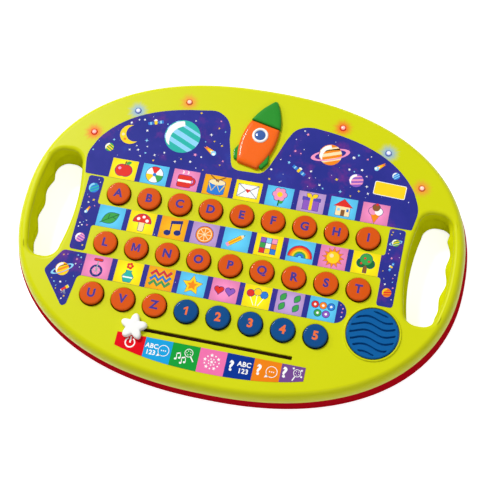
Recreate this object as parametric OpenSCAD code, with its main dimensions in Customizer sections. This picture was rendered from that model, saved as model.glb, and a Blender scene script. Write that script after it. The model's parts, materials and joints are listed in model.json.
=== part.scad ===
// Learning board for small children: a flat oval case with a grip at each end,
// three rows of round keys, a seven-way mode slider, six lamps and a loudspeaker.
// The case lies on the table: +X runs along its length, +Y away from the player,
// +Z up, with the origin at the middle of the case on the table top.

/* [Case] */
// Length of the lid over both grips
body_length = 353; // [345:1:380]
// Depth of the lid from front to back
body_depth = 257; // [252:1:280]
// Height from the tray's underside to the flat face
body_height = 32; // [31:0.5:40]
// Height of the tray, up to the joint with the lid
tray_height = 19.5; // [19:0.25:21]
// How far the tray swells past the lid at each grip
tray_swell = 4.5; // [2:0.5:8]
// How far the tray swells past the lid at front and back
tray_swell_front = 1; // [0:0.25:3]
// Fullness of the oval outline, 2 being an ellipse
outline_power = 2.28; // [2.26:0.01:2.6]
// Wall of the tray and of the lid's rim
shell_wall = 2.4; // [2:0.1:2.8]
// Thickness of the lid's face
face_wall = 2.5; // [2:0.1:2.8]

/* [Grips] */
// Length of a grip opening
grip_length = 92; // [80:1:96]
// Width of a grip opening, without the bow of its inner side
grip_gap = 30; // [27:0.25:30.5]
// Width of the bar between a grip opening and the lid's outline
grip_bar = 10.25; // [9:0.25:11]
// Place of the grip's middle along Y
grip_y = -1.75; // [-4:0.25:2]
// How far the inner side of a grip opening bows inwards
grip_bow = 4; // [3:0.25:5.5]
// Corner radius of a grip opening
grip_corner = 11; // [9:0.5:12]
// Spacing of the ribs between the fingers
finger_pitch = 24.5; // [23:0.5:26]
// Place of the middle rib, away from the grip's middle
finger_shift = 6.75; // [0:0.25:8]
// Height of the ribs between the fingers
finger_depth = 2.5; // [1:0.25:3]
// Rounding of a grip opening's upper edge, on the bar
grip_lip = 3; // [2:0.25:3.25]
// Rounding of a grip opening's upper edge, towards the keys
grip_lip_in = 3.5; // [2.5:0.25:5]
// How far the bar's inner wall leans out on its way down
grip_lean = 2.75; // [0:0.25:3]
// How far the opposite wall leans the same way
grip_lean_in = 4.25; // [0:0.25:4.5]

/* [Keys] */
// Length of the case, counted in key pitches
pitches_across = 14.12; // [13.9:0.02:14.4]
// Distance between the rows of keys
row_pitch = 42.4; // [41.5:0.1:43]
// Place of the back row of keys along Y
key_row_y = 13.4; // [12.5:0.1:14]
// Diameter of a key cap
cap_d = 18.8; // [17:0.1:19.2]
// Height of a key cap above the face
key_proud = 3.25; // [2.5:0.25:5]
// Travel of a key
key_travel = 1.5; // [1:0.1:1.8]
// Gap between a key cap and its hole
key_gap = 0.35; // [0.3:0.05:0.5]
// Width of the flange that keeps a key under the face
key_flange = 1.5; // [1.2:0.1:1.6]
// Length of the sleeve that guides a key below the face
key_sleeve = 2.5; // [1.5:0.25:3]

/* [Mode slider] */
// Place of the slot along Y
slot_y = -91.3; // [-92:0.1:-91]
// Width of the slot
slot_w = 3; // [2.8:0.1:4]
// Travel of the knob from the first mode to the last
slider_travel = 120; // [110:1:124]
// Size of the star knob from its middle to a tip
star_r = 10.5; // [8:0.5:12]
// Thickness of the star knob
star_h = 4.5; // [3:0.25:6]
// Number of modes on the mode label
mode_count = 7; // [5:1:9]

/* [Loudspeaker] */
// Place of the loudspeaker along X, as a share of the case's length
speaker_share = 0.33; // [0.328:0.001:0.334]
// Place of the loudspeaker along Y
speaker_y = -61; // [-63:0.25:-60.5]
// Diameter of the grille
grille_d = 40; // [36:0.5:40]
// Width of the grille's wavy slots
grille_slot = 1.4; // [1.2:0.1:2]
// Spacing of the grille's wavy slots
grille_pitch = 5.5; // [4.5:0.1:5.6]
// Height of the waves of the slots
grille_wave = 1.7; // [0:0.1:2]

/* [Lamps] */
// Diameter of a lamp
lamp_d = 5; // [3:0.5:5]
// Height of a lamp's dome above the face
lamp_proud = 1.6; // [1:0.1:2.2]

/* [Labels] */
// Thickness of the printed labels
label_t = 0.2; // [0.1:0.05:0.3]
// Depth of the picture bands between the rows of keys
band_depth = 18.2; // [16:0.1:18.6]

/* [Emblem] */
// Greatest width of the rocket emblem
emblem_w = 28; // [25:0.5:28.5]
// Lean of the rocket emblem, in degrees
emblem_turn = -12; // [-14:1:-8]
// Height of the rocket emblem above the face
emblem_t = 4.5; // [3:0.25:6]

/* [Batteries] */
// Diameter of a battery
cell_d = 14.2; // [13.8:0.1:14.4]
// Length of a battery over its contacts
cell_l = 50.5; // [49:0.1:51]
// Place of the battery box along Y
cell_box_y = 60; // [60:0.5:62]

/* [Fasteners and feet] */
// Diameter of the case screws
screw_d = 2.9; // [2.5:0.1:3.2]
// Diameter of the rubber feet
foot_d = 14; // [10:0.5:16]
// Height of the feet below the tray
foot_proud = 1.5; // [1:0.25:3]

/* [Hidden] */
$fn = 48;
skin = 0.05;          // thickness of the slabs that a rounded form is stretched over
eps = 0.5;            // how far a cut runs past the face that it opens
fit_gap = 0.3;        // clearance between parts of the case
outline_steps = 96;   // corners of the oval outline

// heights
tray_z = foot_proud;
split_z = tray_z + tray_height;
face_z = tray_z + body_height;
under_face_z = face_z - face_wall;

// rounded side of the lid: share of its height, and how far it has come in there
lid_side = [[0, 0], [0.28, 0.35], [0.64, 1.6], [0.86, 3.4], [0.96, 5], [1, 6.4]];
// rounded side of the tray: share of its height, share of the swell, and how far it has come in
tray_side = [[0, 1, 6], [0.06, 1, 2.6], [0.2, 1, 0.5], [0.38, 1, 0], [0.7, 0.75, 0], [1, 0, 0]];
tray_hollow = [[0.12, 1, 3], [0.38, 1, 0], [0.7, 0.75, 0], [1.05, 0, 0]];

side = body_length / 2;
back = body_depth / 2;

// grip openings
grip_out = side - grip_bar;
grip_in = grip_out - grip_gap;
grip_wall = 2.2;
rib_fade = 6;
grip_steps = 6;
side_steps = 32;

// keys
key_rows = [9, 9, 8];
key_first = -4;
key_pitch = body_length / pitches_across;
key_bore_d = cap_d + 2 * key_gap;
key_sleeve_d = key_bore_d + 2.4;
key_rest_gap = 0.25;
flange_t = 1.2;
flange_top_z = under_face_z - key_sleeve - key_rest_gap;
flange_z = flange_top_z - flange_t;
key_top_z = face_z + key_proud;
cap_wall = 1.8;
cap_edge = 1.1;
tube_r = 5;
tube_wall = 1.3;

// circuit board under the keys, and the rubber strips on it
strip_t = 1;
strip_z = flange_z - key_travel - fit_gap - strip_t;
strip_depth = 21;
strip_end = 12;
post_r = tube_r - tube_wall - 0.5;
post_h = 4;
board_t = 1.6;
board_top_z = strip_z;
board_z = board_top_z - board_t;
board_margin = 14;

// mode slider
slider_rest_x = -slider_travel / 2 - 1.25;
stem_l = 4;
stem_w = slot_w - 0.6;
slot_start = slider_rest_x - stem_l / 2 - fit_gap;
slot_end = slider_rest_x + slider_travel + stem_l / 2 + fit_gap;
carriage = [14, 10, 2.6];
carriage_top_z = under_face_z - 0.25;
rail_t = 1.2;
rail_h = 3.6;
wiper_t = 0.35;

// loudspeaker
speaker_x = speaker_share * body_length;
collar_r = grille_d / 2 + 4;
boss_foot_r = grille_d / 2 + 2.4;
boss_top_r = grille_d / 2 + 1.4;
boss_h = 1.2;
boss_slope = (boss_foot_r - boss_top_r) / boss_h;
grille_flange = 1.8;
grille_flange_t = 1.5;
grille_top_z = face_z + boss_h + 0.4;
speaker_r = grille_d / 2 + grille_flange - 0.2;
basket_top_z = under_face_z - 0.1 - grille_flange_t - 0.1;
basket_flange_t = 1.4;
basket_z = 19;
magnet_r = 11.5;
magnet_h = 8;

// lamps, on an oval track inside the outline
lamp_track = [side - 22.25, back - 18.75];
lamp_angles = [25.2, 40.5, 58.4];
lamp_board_w = 10;
lamp_board_t = 1.2;
lamp_board_top_z = under_face_z - 4.8;

// labels
band_lift = 0.95;
tile_left = (key_first - 0.6) * key_pitch;
label_reach = grip_in - grip_bow - grip_lip_in - 1.25;
label_side_low = key_y(1) - key_bore_d / 2 + 0.4;
mode_label_half = 73;
mode_label_top = slot_y - 5.2;
upper_label = [side - 36.5, back - 28.5];

// emblem: a lens-shaped rocket, measured from the middle of the lens
emblem_at = [-0.5, back - 49];
emblem_half_l = 37;
lens_r = (pow(emblem_half_l, 2) + pow(emblem_w / 2, 2)) / emblem_w;
emblem_tail = -24;
emblem_nose = 14;
porthole_at = 3;
porthole_r = 6.5;

// battery box
door_t = 2;
cell_pitch = cell_d + 1;
contact_t = 0.5;
contact_dimple = 1;
contact_spring = 5;
cell_shift = (contact_dimple - contact_spring) / 2; // one end touches a dimple, the other a spring
box_in = [cell_l + 2 * contact_t + contact_dimple + contact_spring, 3 * cell_pitch + 1];
box_wall = 2;
cell_z = tray_z + door_t + 0.3 + cell_d / 2;
box_top_z = cell_z + cell_d / 2 + 0.5;
box_ceiling = 1.8;
box_floor_z = tray_z + door_t + 0.1;
door_screw_y = cell_box_y + box_in[1] / 2 + box_wall + 6;
door_lug_r = 6;

// fasteners: places of the case screws and of the board screws
case_screws_at = [[38, back - 20.5], [side - 54.5, 52], [side - 28.5, -60], [86, -96]];
boss_outer = screw_d + 5.6;
screw_hole_d = screw_d + 0.1;
screw_head_d = 2 * screw_d;
screw_well_d = screw_head_d + 0.8;
screw_well_z = split_z - 8;
small_screw_d = 2.2;
small_hole_d = small_screw_d + 0.1;
small_post_r = 3;
board_screw_cols = [-3.5, 0.5, 3.5];
lamp_screw_angles = [32.5, 49];
feet_at = [[side - 58.5, 76], [side - 64.5, -78]];
foot_seat = 1;

// ---------- helpers ----------

// corners of an oval with half sizes a and b
function oval(a, b, power) = [
    for (i = [0 : outline_steps - 1])
        let (t = 360 * i / outline_steps, c = cos(t), s = sin(t))
            [a * sign(c) * pow(abs(c), 2 / power), b * sign(s) * pow(abs(s), 2 / power)]
];

// point of an oval in the direction of an angle
function on_oval(a, b, power, angle) =
    let (r = pow(pow(cos(angle) / a, power) + pow(sin(angle) / b, power), -1 / power))
        [r * cos(angle), r * sin(angle)];

function lid_oval(inset) = oval(side - inset, back - inset, outline_power);

function tray_oval(swell, inset) =
    oval(side + swell * tray_swell - inset, back + swell * tray_swell_front - inset, outline_power);

function arc(x, y, r, from, to) = [
    for (i = [0 : grip_steps])
        let (t = from + (to - from) * i / grip_steps) [x + r * cos(t), y + r * sin(t)]
];

// height of the finger ribs at a distance from the grip's middle, fading at the ends
function rib(t) =
    finger_depth / 2 * (1 + cos(360 * (t - finger_shift) / finger_pitch))
    * min(1, max(0, (grip_length / 2 - grip_corner - abs(t)) / rib_fade));

// outline of the right grip opening, grown outwards on the bar's side and on the keys' side;
// depth runs from 0 at the foot of the rounded edge to 1 at the underside
function grip_pts(grow, grow_in, depth) =
    let (
        h = grip_length / 2 - grip_corner,
        r = grip_corner + grow,
        r_in = grip_corner + grow_in,
        out = grip_lean * depth,
        in_x = grip_in + grip_lean_in * depth
    )
        concat(
            arc(bar_x(grip_y + h) - grip_corner + out, grip_y + h, r, 0, 90),
            arc(in_x + grip_corner, grip_y + h, r_in, 90, 180),
            [for (i = [1 : 9]) let (t = h - 2 * h * i / 10)
                [in_x - grow_in - grip_bow * (1 - pow(t / h, 2)), grip_y + t]],
            arc(in_x + grip_corner, grip_y - h, r_in, 180, 270),
            arc(bar_x(grip_y - h) - grip_corner + out, grip_y - h, r, 270, 360),
            [for (i = [1 : side_steps - 1]) let (t = -h + 2 * h * i / side_steps)
                [bar_x(grip_y + t) + grow + out - depth * rib(t), grip_y + t]]
        );

function grip_depth(z) = (face_z - grip_lip - z) / (face_z - grip_lip - tray_z);

// inner face of the grip's bar, which follows the lid's outline
function bar_x(y) =
    side * pow(1 - pow(abs(y) / back, outline_power), 1 / outline_power) - grip_bar;

function key_x(col) = (key_first + col) * key_pitch;

function key_y(row) = key_row_y - row * row_pitch;

// place of the middle of the picture band below a row of keys
function band_y(row) = key_y(row) - row_pitch / 2 + band_lift;

function lamp_at(i) = on_oval(lamp_track[0], lamp_track[1], outline_power, lamp_angles[i]);

// height of the waves of the grille's slots
function wave(x) = -grille_wave * sin(360 * (x - 1.5) / (5 * grille_pitch));

function star_at(angle) = star_r * (0.6 + 0.4 * pow((1 + cos(5 * (angle - 90))) / 2, 0.85));

module both_sides() {
    children();
    mirror([1, 0, 0]) children();
}

module slab(z, points) {
    translate([0, 0, z]) linear_extrude(skin) polygon(points);
}

module lid_form(inset, top_z) {
    hull()
        for (s = lid_side)
            slab(split_z + s[0] * (top_z - split_z) - skin * s[0], lid_oval(s[1] + inset));
}

module tray_form(levels, inset) {
    hull()
        for (s = levels)
            slab(tray_z + s[0] * tray_height - skin * min(1, s[0]), tray_oval(s[1], s[2] + inset));
}

// solid between two outlines that have equally many corners
module loft(low, low_z, high, high_z) {
    n = len(low);
    polyhedron(
        points = concat([for (p = low) [p[0], p[1], low_z]], [for (p = high) [p[0], p[1], high_z]]),
        faces = concat(
            [[for (i = [0 : n - 1]) i], [for (i = [n - 1 : -1 : 0]) n + i]],
            [for (i = [0 : n - 1]) [i, n + i, n + (i + 1) % n]],
            [for (i = [0 : n - 1]) [i, n + (i + 1) % n, (i + 1) % n]]
        )
    );
}

module grip_tube(grow, z0, z1) {
    both_sides()
        loft(grip_pts(grow, grow, grip_depth(z0)), z0, grip_pts(grow, grow, grip_depth(z1)), z1);
}

module at_keys() {
    for (row = [0 : 2])
        for (col = [0 : key_rows[row] - 1])
            translate([key_x(col), key_y(row), 0]) children();
}

module at_case_screws() {
    for (p = case_screws_at)
        both_sides() translate([p[0], p[1], 0]) children();
}

module at_board_screws() {
    for (c = board_screw_cols)
        for (row = [0, 1])
            translate([c * key_pitch, band_y(row), 0]) children();
}

module at_lamp_screws() {
    for (a = lamp_screw_angles)
        let (p = on_oval(lamp_track[0], lamp_track[1], outline_power, a))
            both_sides() translate([p[0], p[1], 0]) children();
}

// ---------- case ----------

module top_shell() {
    color("#d3de2c")
    difference() {
        union() {
            difference() {
                lid_form(0, face_z);
                translate([0, 0, -eps]) lid_form(shell_wall, under_face_z + eps);
                translate([0, 0, split_z - eps]) linear_extrude(2 * eps) polygon(lid_oval(shell_wall));
            }
            grip_tube(grip_wall, tray_z - 1, under_face_z + eps);
            at_keys() translate([0, 0, under_face_z - key_sleeve])
                cylinder(d = key_sleeve_d, h = key_sleeve + eps);
            at_case_screws() translate([0, 0, split_z + 0.1])
                cylinder(d = boss_outer, h = under_face_z - split_z);
            at_board_screws() translate([0, 0, board_top_z])
                cylinder(r = small_post_r, h = under_face_z - board_top_z + eps);
            at_lamp_screws() translate([0, 0, lamp_board_top_z])
                cylinder(r = small_post_r, h = under_face_z - lamp_board_top_z + eps);
            slider_rails();
            speaker_boss();
        }
        translate([-side, -back, tray_z - 2]) cube([2 * side, 2 * back, 2]);
        grip_tube(0, tray_z - 3, face_z + 1);
        both_sides() grip_bevel();
        at_keys() translate([0, 0, under_face_z - key_sleeve - eps])
            cylinder(d = key_bore_d, h = key_sleeve + face_wall + 2 * eps);
        at_case_screws() translate([0, 0, split_z - 1])
            cylinder(d = screw_hole_d, h = 9);
        at_board_screws() translate([0, 0, board_top_z - 1])
            cylinder(d = small_hole_d, h = 5);
        at_lamp_screws() translate([0, 0, lamp_board_top_z - 1])
            cylinder(d = small_hole_d, h = 5);
        mode_slot();
        for (i = [0 : 2])
            both_sides() translate([lamp_at(i)[0], lamp_at(i)[1], under_face_z - 1])
                cylinder(d = lamp_d + 0.2, h = face_wall + 2);
        translate([speaker_x, speaker_y, under_face_z - 1])
            cylinder(d = grille_d + 2 * fit_gap, h = face_wall + boss_h + 2);
    }
}

// rounding of the upper edge of the right grip opening, in two bevels
module grip_bevel() {
    knee = 0.3;
    start = -0.15; // the first bevel starts inside the opening, and so crosses its wall
    knee_z = face_z - grip_lip * knee;
    hull() {
        slab(face_z - grip_lip, grip_pts(start, start, 0));
        slab(knee_z, grip_pts(grip_lip * knee, grip_lip_in * knee, 0));
    }
    hull() {
        slab(knee_z - skin, grip_pts(grip_lip * knee, grip_lip_in * knee, 0));
        slab(face_z + skin, grip_pts(grip_lip, grip_lip_in, 0));
    }
}

module mode_slot() {
    translate([slot_start, slot_y - slot_w / 2, under_face_z - 1])
        cube([slot_end - slot_start, slot_w, face_wall + 2]);
}

// two rails under the face that guide the slider's carriage, the front one with a notch for each mode
module slider_rails() {
    rail_x = slot_start - carriage[0] / 2;
    rail_y = carriage[1] / 2 + fit_gap + rail_t / 2;
    difference() {
        for (side = [-1, 1])
            translate([rail_x, slot_y + side * rail_y - rail_t / 2, under_face_z - rail_h])
                cube([slot_end + carriage[0] / 2 - rail_x, rail_t, rail_h + eps]);
        for (i = [0 : mode_count - 1])
            translate([slider_rest_x + slider_travel * i / (mode_count - 1),
                       slot_y - rail_y + rail_t / 2, under_face_z - rail_h - 1])
                cylinder(r = 0.6, h = rail_h - 0.2);
    }
}

// raised ring round the grille, and the collar below that holds grille and loudspeaker
module speaker_boss() {
    collar_h = under_face_z - basket_top_z + basket_flange_t;
    translate([speaker_x, speaker_y, 0]) {
        translate([0, 0, face_z - eps])
            cylinder(r1 = boss_foot_r + eps * boss_slope, r2 = boss_top_r, h = boss_h + eps);
        translate([0, 0, basket_top_z - basket_flange_t])
            difference() {
                cylinder(r = collar_r, h = collar_h + eps);
                translate([0, 0, -1])
                    cylinder(r = speaker_r + fit_gap, h = collar_h + 1);
            }
    }
}

module bottom_shell() {
    color("#b80f1f")
    difference() {
        union() {
            difference() {
                tray_form(tray_side, 0);
                tray_form(tray_hollow, shell_wall);
            }
            locating_lip();
            at_case_screws() translate([0, 0, tray_z + shell_wall / 2])
                cylinder(d = screw_well_d + 3.2, h = tray_height - shell_wall / 2);
            battery_box();
        }
        grip_tube(grip_wall + fit_gap, tray_z - 1, split_z + 6);
        at_case_screws() {
            translate([0, 0, tray_z - 1]) cylinder(d = screw_well_d, h = screw_well_z - tray_z + 1);
            translate([0, 0, tray_z]) cylinder(d = screw_hole_d, h = tray_height + 1);
        }
        battery_room();
        at_feet() translate([0, 0, tray_z - 1]) cylinder(d = foot_d + 0.2, h = foot_seat + 1);
    }
}

// lip on the tray that locates the lid
module locating_lip() {
    lip_in = shell_wall + fit_gap + 0.5;
    translate([0, 0, split_z - 2])
        difference() {
            linear_extrude(4) polygon(lid_oval(lip_in));
            translate([0, 0, -1]) linear_extrude(6) polygon(lid_oval(lip_in + 1.4));
        }
    translate([0, 0, split_z - 3.5])
        difference() {
            linear_extrude(2) polygon(lid_oval(shell_wall - 0.6));
            translate([0, 0, -1]) linear_extrude(4) polygon(lid_oval(lip_in + 1.4));
        }
}

module battery_box() {
    outer = [box_in[0] + 2 * box_wall, box_in[1] + 2 * box_wall];
    translate([-outer[0] / 2, cell_box_y - outer[1] / 2, box_floor_z])
        cube([outer[0], outer[1], box_top_z + box_ceiling - box_floor_z]);
    translate([0, door_screw_y, box_floor_z])
        cylinder(d = boss_outer + 1, h = 11);
}

// everything that the battery box leaves open: the room for the cells, and the door's seat
module battery_room() {
    translate([-box_in[0] / 2, cell_box_y - box_in[1] / 2, tray_z - 1])
        cube([box_in[0], box_in[1], box_top_z - tray_z + 1]);
    door_plan(fit_gap, tray_z - 1, door_t + 1.1);
    translate([0, door_screw_y, tray_z]) cylinder(d = screw_hole_d, h = 10);
}

module door_plan(grow, z, h) {
    half = [box_in[0] / 2 + box_wall - 0.3 + grow, box_in[1] / 2 + box_wall - 0.6 + grow];
    translate([0, 0, z])
        linear_extrude(h) {
            translate([-half[0], cell_box_y - half[1]]) square([2 * half[0], 2 * half[1]]);
            translate([-door_lug_r - grow, cell_box_y])
                square([2 * (door_lug_r + grow), door_screw_y - cell_box_y]);
            translate([0, door_screw_y]) circle(r = door_lug_r + grow);
        }
}

module battery_door() {
    color("#a80d1c")
    difference() {
        union() {
            door_plan(0, tray_z, door_t);
            for (i = [-2 : 2])
                translate([-box_in[0] / 2 + 3, cell_box_y + i * 9 - 0.5, tray_z + door_t - 0.1])
                    cube([box_in[0] - 6, 1, 0.3]);
        }
        translate([0, door_screw_y, tray_z - 1]) cylinder(d = screw_hole_d + 0.4, h = door_t + 2);
        translate([0, door_screw_y, tray_z - 0.01])
            cylinder(d1 = screw_head_d + 0.6, d2 = screw_d + 0.5, h = 1.5);
        for (i = [0 : 2])
            translate([-9, cell_box_y - box_in[1] / 2 + 2 + i * 2.4, tray_z - 1])
                cube([18, 1.2, 1.6]);
    }
}

module door_screw() {
    color("#c2c4c8")
    translate([0, door_screw_y, tray_z + 0.2]) cross_head(screw_d, screw_head_d, 1.3, 9);
}

// countersunk screw pointing up: shank diameter, head diameter, head height and length
module cross_head(d, head_d, head_h, l) {
    difference() {
        union() {
            cylinder(d1 = head_d, d2 = d, h = head_h);
            cylinder(d = d, h = l);
        }
        for (a = [0, 90])
            rotate([0, 0, a]) translate([-head_d / 4, -0.3, -1]) cube([head_d / 2, 0.6, 1.8]);
    }
}

// pan-head screw pointing up
module pan_head(d, head_d, head_h, l) {
    difference() {
        union() {
            translate([0, 0, -head_h]) cylinder(d = head_d, h = head_h);
            cylinder(d = d, h = l);
        }
        for (a = [0, 90])
            rotate([0, 0, a])
                translate([-head_d / 4, -0.3, -head_h - 1]) cube([head_d / 2, 0.6, 1 + head_h / 2]);
    }
}

module case_screws() {
    color("#c2c4c8")
    at_case_screws() translate([0, 0, screw_well_z]) pan_head(screw_d, screw_head_d, 2, 15);
}

module at_feet() {
    for (p = feet_at)
        both_sides() translate([p[0], p[1], 0]) children();
}

module rubber_feet() {
    color("#2b2b2d")
    at_feet() {
        cylinder(d1 = foot_d - 1, d2 = foot_d, h = foot_proud / 2);
        translate([0, 0, foot_proud / 2 - 0.01]) cylinder(d = foot_d, h = foot_proud / 2 + foot_seat);
    }
}

// ---------- batteries ----------

module at_cells() {
    for (i = [-1 : 1])
        translate([0, cell_box_y + i * cell_pitch, cell_z])
            rotate([0, 0, i == 0 ? 180 : 0]) children();
}

module batteries() {
    color("#3b4a63")
    at_cells()
        translate([-cell_l / 2 - cell_shift, 0, 0]) rotate([0, 90, 0]) {
            cylinder(d = cell_d, h = cell_l - 1);
            cylinder(d = 5.4, h = cell_l);
        }
}

module battery_contacts() {
    end = box_in[0] / 2;
    color("#cfd0cc")
    at_cells() {
        translate([end - contact_t, -6, -6]) cube([contact_t, 12, 12]);
        translate([end - contact_t - contact_dimple, 0, 0])
            rotate([0, 90, 0]) cylinder(d1 = 3, d2 = 6, h = contact_dimple + 0.1);
        translate([-end, -6, -6]) cube([contact_t, 12, 12]);
        translate([-end + contact_t - 0.1, 0, 0])
            rotate([0, 90, 0])
                difference() {
                    cylinder(d1 = 10, d2 = 7, h = contact_spring + 0.1);
                    translate([0, 0, -1]) cylinder(d1 = 8.4, d2 = 5.4, h = contact_spring + 2);
                }
    }
}

// ---------- electronics ----------

module main_board() {
    left = key_x(0) - board_margin;
    upper_right = key_x(key_rows[1] - 1) + board_margin;
    lower_right = key_x(key_rows[2] - 1) + board_margin + 2;
    top = key_y(0) + board_margin;
    step = key_y(1) - 12.6;
    low = key_y(2) - 12.6;
    slot_half = slider_travel / 2 + 15;
    color("#8a5a2b")
    difference() {
        translate([0, 0, board_z])
            linear_extrude(board_t)
                polygon([
                    [left, top], [upper_right, top], [upper_right, step], [lower_right, step],
                    [lower_right, low], [slot_half, low], [slot_half, slot_y - 12],
                    [-slot_half, slot_y - 12], [-slot_half, low], [left, low]
                ]);
        at_board_screws() translate([0, 0, board_z - 1]) cylinder(d = small_hole_d + 0.3, h = board_t + 2);
    }
}

module board_screws() {
    color("#b9a46a") {
        at_board_screws() translate([0, 0, board_z]) pan_head(small_screw_d, 4.4, 1.2, board_t + 3.5);
        at_lamp_screws() translate([0, 0, lamp_board_top_z - lamp_board_t])
            pan_head(small_screw_d, 4.4, 1.2, lamp_board_t + 3.5);
    }
}

// one strip of rubber for each row of keys, with a springy post below each key
module keypad_rubber() {
    color("#d9d6cf")
    for (row = [0 : 2]) {
        translate([key_x(0) - strip_end, key_y(row) - strip_depth / 2, strip_z])
            cube([(key_rows[row] - 1) * key_pitch + 2 * strip_end, strip_depth, strip_t]);
        for (col = [0 : key_rows[row] - 1])
            translate([key_x(col), key_y(row), strip_z + strip_t / 2])
                cylinder(r = post_r, h = post_h + strip_t / 2);
    }
}

module sound_chip() {
    color("#1c1c1e")
    translate([-1.5 * key_pitch, band_y(1), board_z])
        difference() {
            translate([0, 0, 6]) sphere(r = 9.5);
            translate([-10, -10, 0]) cube(20);
        }
}

module capacitors() {
    color("#2a3e7a")
    for (i = [0, 1])
        translate([1.5 * key_pitch + 9 * i, band_y(1), board_z - 11]) cylinder(d = 6.3, h = 11);
}

module lamp_board(side) {
    grow = lamp_board_w / 2;
    color("#8a5a2b")
    mirror([side, 0, 0])
        difference() {
            translate([0, 0, lamp_board_top_z - lamp_board_t])
                linear_extrude(lamp_board_t)
                    polygon(concat(
                        [for (a = [21 : 3 : 63])
                            on_oval(lamp_track[0] + grow, lamp_track[1] + grow, outline_power, a)],
                        [for (a = [63 : -3 : 21])
                            on_oval(lamp_track[0] - grow, lamp_track[1] - grow, outline_power, a)]
                    ));
            for (a = lamp_screw_angles)
                let (p = on_oval(lamp_track[0], lamp_track[1], outline_power, a))
                    translate([p[0], p[1], lamp_board_top_z - 5]) cylinder(d = small_hole_d + 0.3, h = 9);
        }
}

module led_board_right() {
    lamp_board(0);
}

module led_board_left() {
    lamp_board(1);
}

// one lamp: a round body with a domed top, standing on its board
module led(x, y) {
    r = lamp_d / 2;
    translate([x, y, lamp_board_top_z]) {
        cylinder(r = r, h = face_z + lamp_proud - r - lamp_board_top_z);
        translate([0, 0, face_z + lamp_proud - r - lamp_board_top_z]) sphere(r = r);
    }
}

module leds_red() {
    color("#ff4a3a") {
        led(-lamp_at(0)[0], lamp_at(0)[1]);
        led(lamp_at(2)[0], lamp_at(2)[1]);
    }
}

module leds_blue() {
    color("#7fd4ff") {
        led(-lamp_at(1)[0], lamp_at(1)[1]);
        led(lamp_at(1)[0], lamp_at(1)[1]);
    }
}

module leds_orange() {
    color("#ff8a4a") {
        led(-lamp_at(2)[0], lamp_at(2)[1]);
        led(lamp_at(0)[0], lamp_at(0)[1]);
    }
}

// flat cables: lamp boards, battery box and loudspeaker to the main board
module ribbon_cables() {
    t = 0.8;
    board_edge = key_y(0) + board_margin;
    lamp_z = lamp_board_top_z - lamp_board_t;
    lamp_end = on_oval(lamp_track[0], lamp_track[1], outline_power, 45);
    roof_z = box_top_z + box_ceiling;
    box_front = cell_box_y - box_in[1] / 2 - box_wall;
    board_side = key_x(key_rows[2] - 1) + board_margin + 2;
    color("#9a9ca2") {
        both_sides()
            translate([lamp_end[0] - 3, 0, 0])
                rotate([90, 0, 90])
                    linear_extrude(6)
                        polygon([
                            [lamp_end[1], lamp_z], [lamp_end[1], lamp_z - t],
                            [board_edge, board_z - t], [board_edge - 7, board_z - t],
                            [board_edge - 7, board_z], [board_edge + 1, board_z]
                        ]);
        translate([-3, 0, 0])
            rotate([90, 0, 90])
                linear_extrude(6)
                    polygon([
                        [box_front + 6, roof_z + t], [box_front + 6, roof_z], [box_front, roof_z],
                        [board_edge, board_z - t], [board_edge - 7, board_z - t],
                        [board_edge - 7, board_z], [board_edge, board_z], [box_front, roof_z + t]
                    ]);
        translate([board_side - 6, speaker_y - 2, board_z - t])
            cube([speaker_x - 14.9 - board_side + 6, 4, t]);
    }
}

// ---------- loudspeaker ----------

// wavy slots across the grille
module grille_waves(z, h) {
    reach = grille_d / 2 - 2.4;
    rows = floor((reach - 1) / grille_pitch);
    steps = 16;
    for (i = [-rows : rows])
        let (y = i * grille_pitch, half = sqrt(pow(reach, 2) - pow(y, 2)))
            translate([0, y, z])
                linear_extrude(h)
                    polygon(concat(
                        [for (k = [0 : steps]) let (x = -half + 2 * half * k / steps)
                            [x, grille_slot / 2 + wave(x)]],
                        [for (k = [steps : -1 : 0]) let (x = -half + 2 * half * k / steps)
                            [x, -grille_slot / 2 + wave(x)]]
                    ));
}

module speaker_grille() {
    color("#1560a8")
    translate([speaker_x, speaker_y, 0])
        difference() {
            union() {
                translate([0, 0, under_face_z - 0.1 - grille_flange_t])
                    cylinder(r = grille_d / 2 + grille_flange - 0.2, h = grille_flange_t);
                translate([0, 0, under_face_z - 1])
                    cylinder(d = grille_d, h = grille_top_z - under_face_z + 0.2);
                translate([0, 0, grille_top_z - 0.8])
                    cylinder(d1 = grille_d, d2 = grille_d - 1.6, h = 0.8);
            }
            translate([0, 0, under_face_z - 3])
                cylinder(d = grille_d - 4, h = grille_top_z - under_face_z + 3 - 2);
            grille_waves(under_face_z - 3, grille_top_z - under_face_z + 6);
        }
}

module speaker_basket() {
    flange_z0 = basket_top_z - basket_flange_t;
    color("#b5b7ba")
    translate([speaker_x, speaker_y, 0])
        rotate_extrude()
            polygon([
                [17, basket_top_z], [speaker_r, basket_top_z], [speaker_r, flange_z0], [17.8, flange_z0],
                [magnet_r + 1, basket_z], [0, basket_z], [0, basket_z + 1], [magnet_r, basket_z + 1],
                [17, flange_z0 + 0.4]
            ]);
}

module speaker_cone() {
    color("#2f3033")
    translate([speaker_x, speaker_y, 0])
        rotate_extrude()
            polygon([
                [16.6, basket_top_z - 0.2], [16.6, basket_top_z - 0.7], [14, basket_top_z - 1.4],
                [5, basket_z + 3], [5, basket_z + 1.1], [0, basket_z + 1.1], [0, basket_z + 5],
                [4, basket_z + 4.4], [6, basket_z + 3.6], [14, basket_top_z - 0.6]
            ]);
}

module speaker_magnet() {
    color("#4a4b4f")
    translate([speaker_x, speaker_y, basket_z - magnet_h])
        difference() {
            cylinder(r = magnet_r, h = magnet_h);
            translate([0, 0, -1]) cylinder(r1 = 3, r2 = 2, h = 3);
        }
}

// ---------- mode slider ----------

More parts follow.
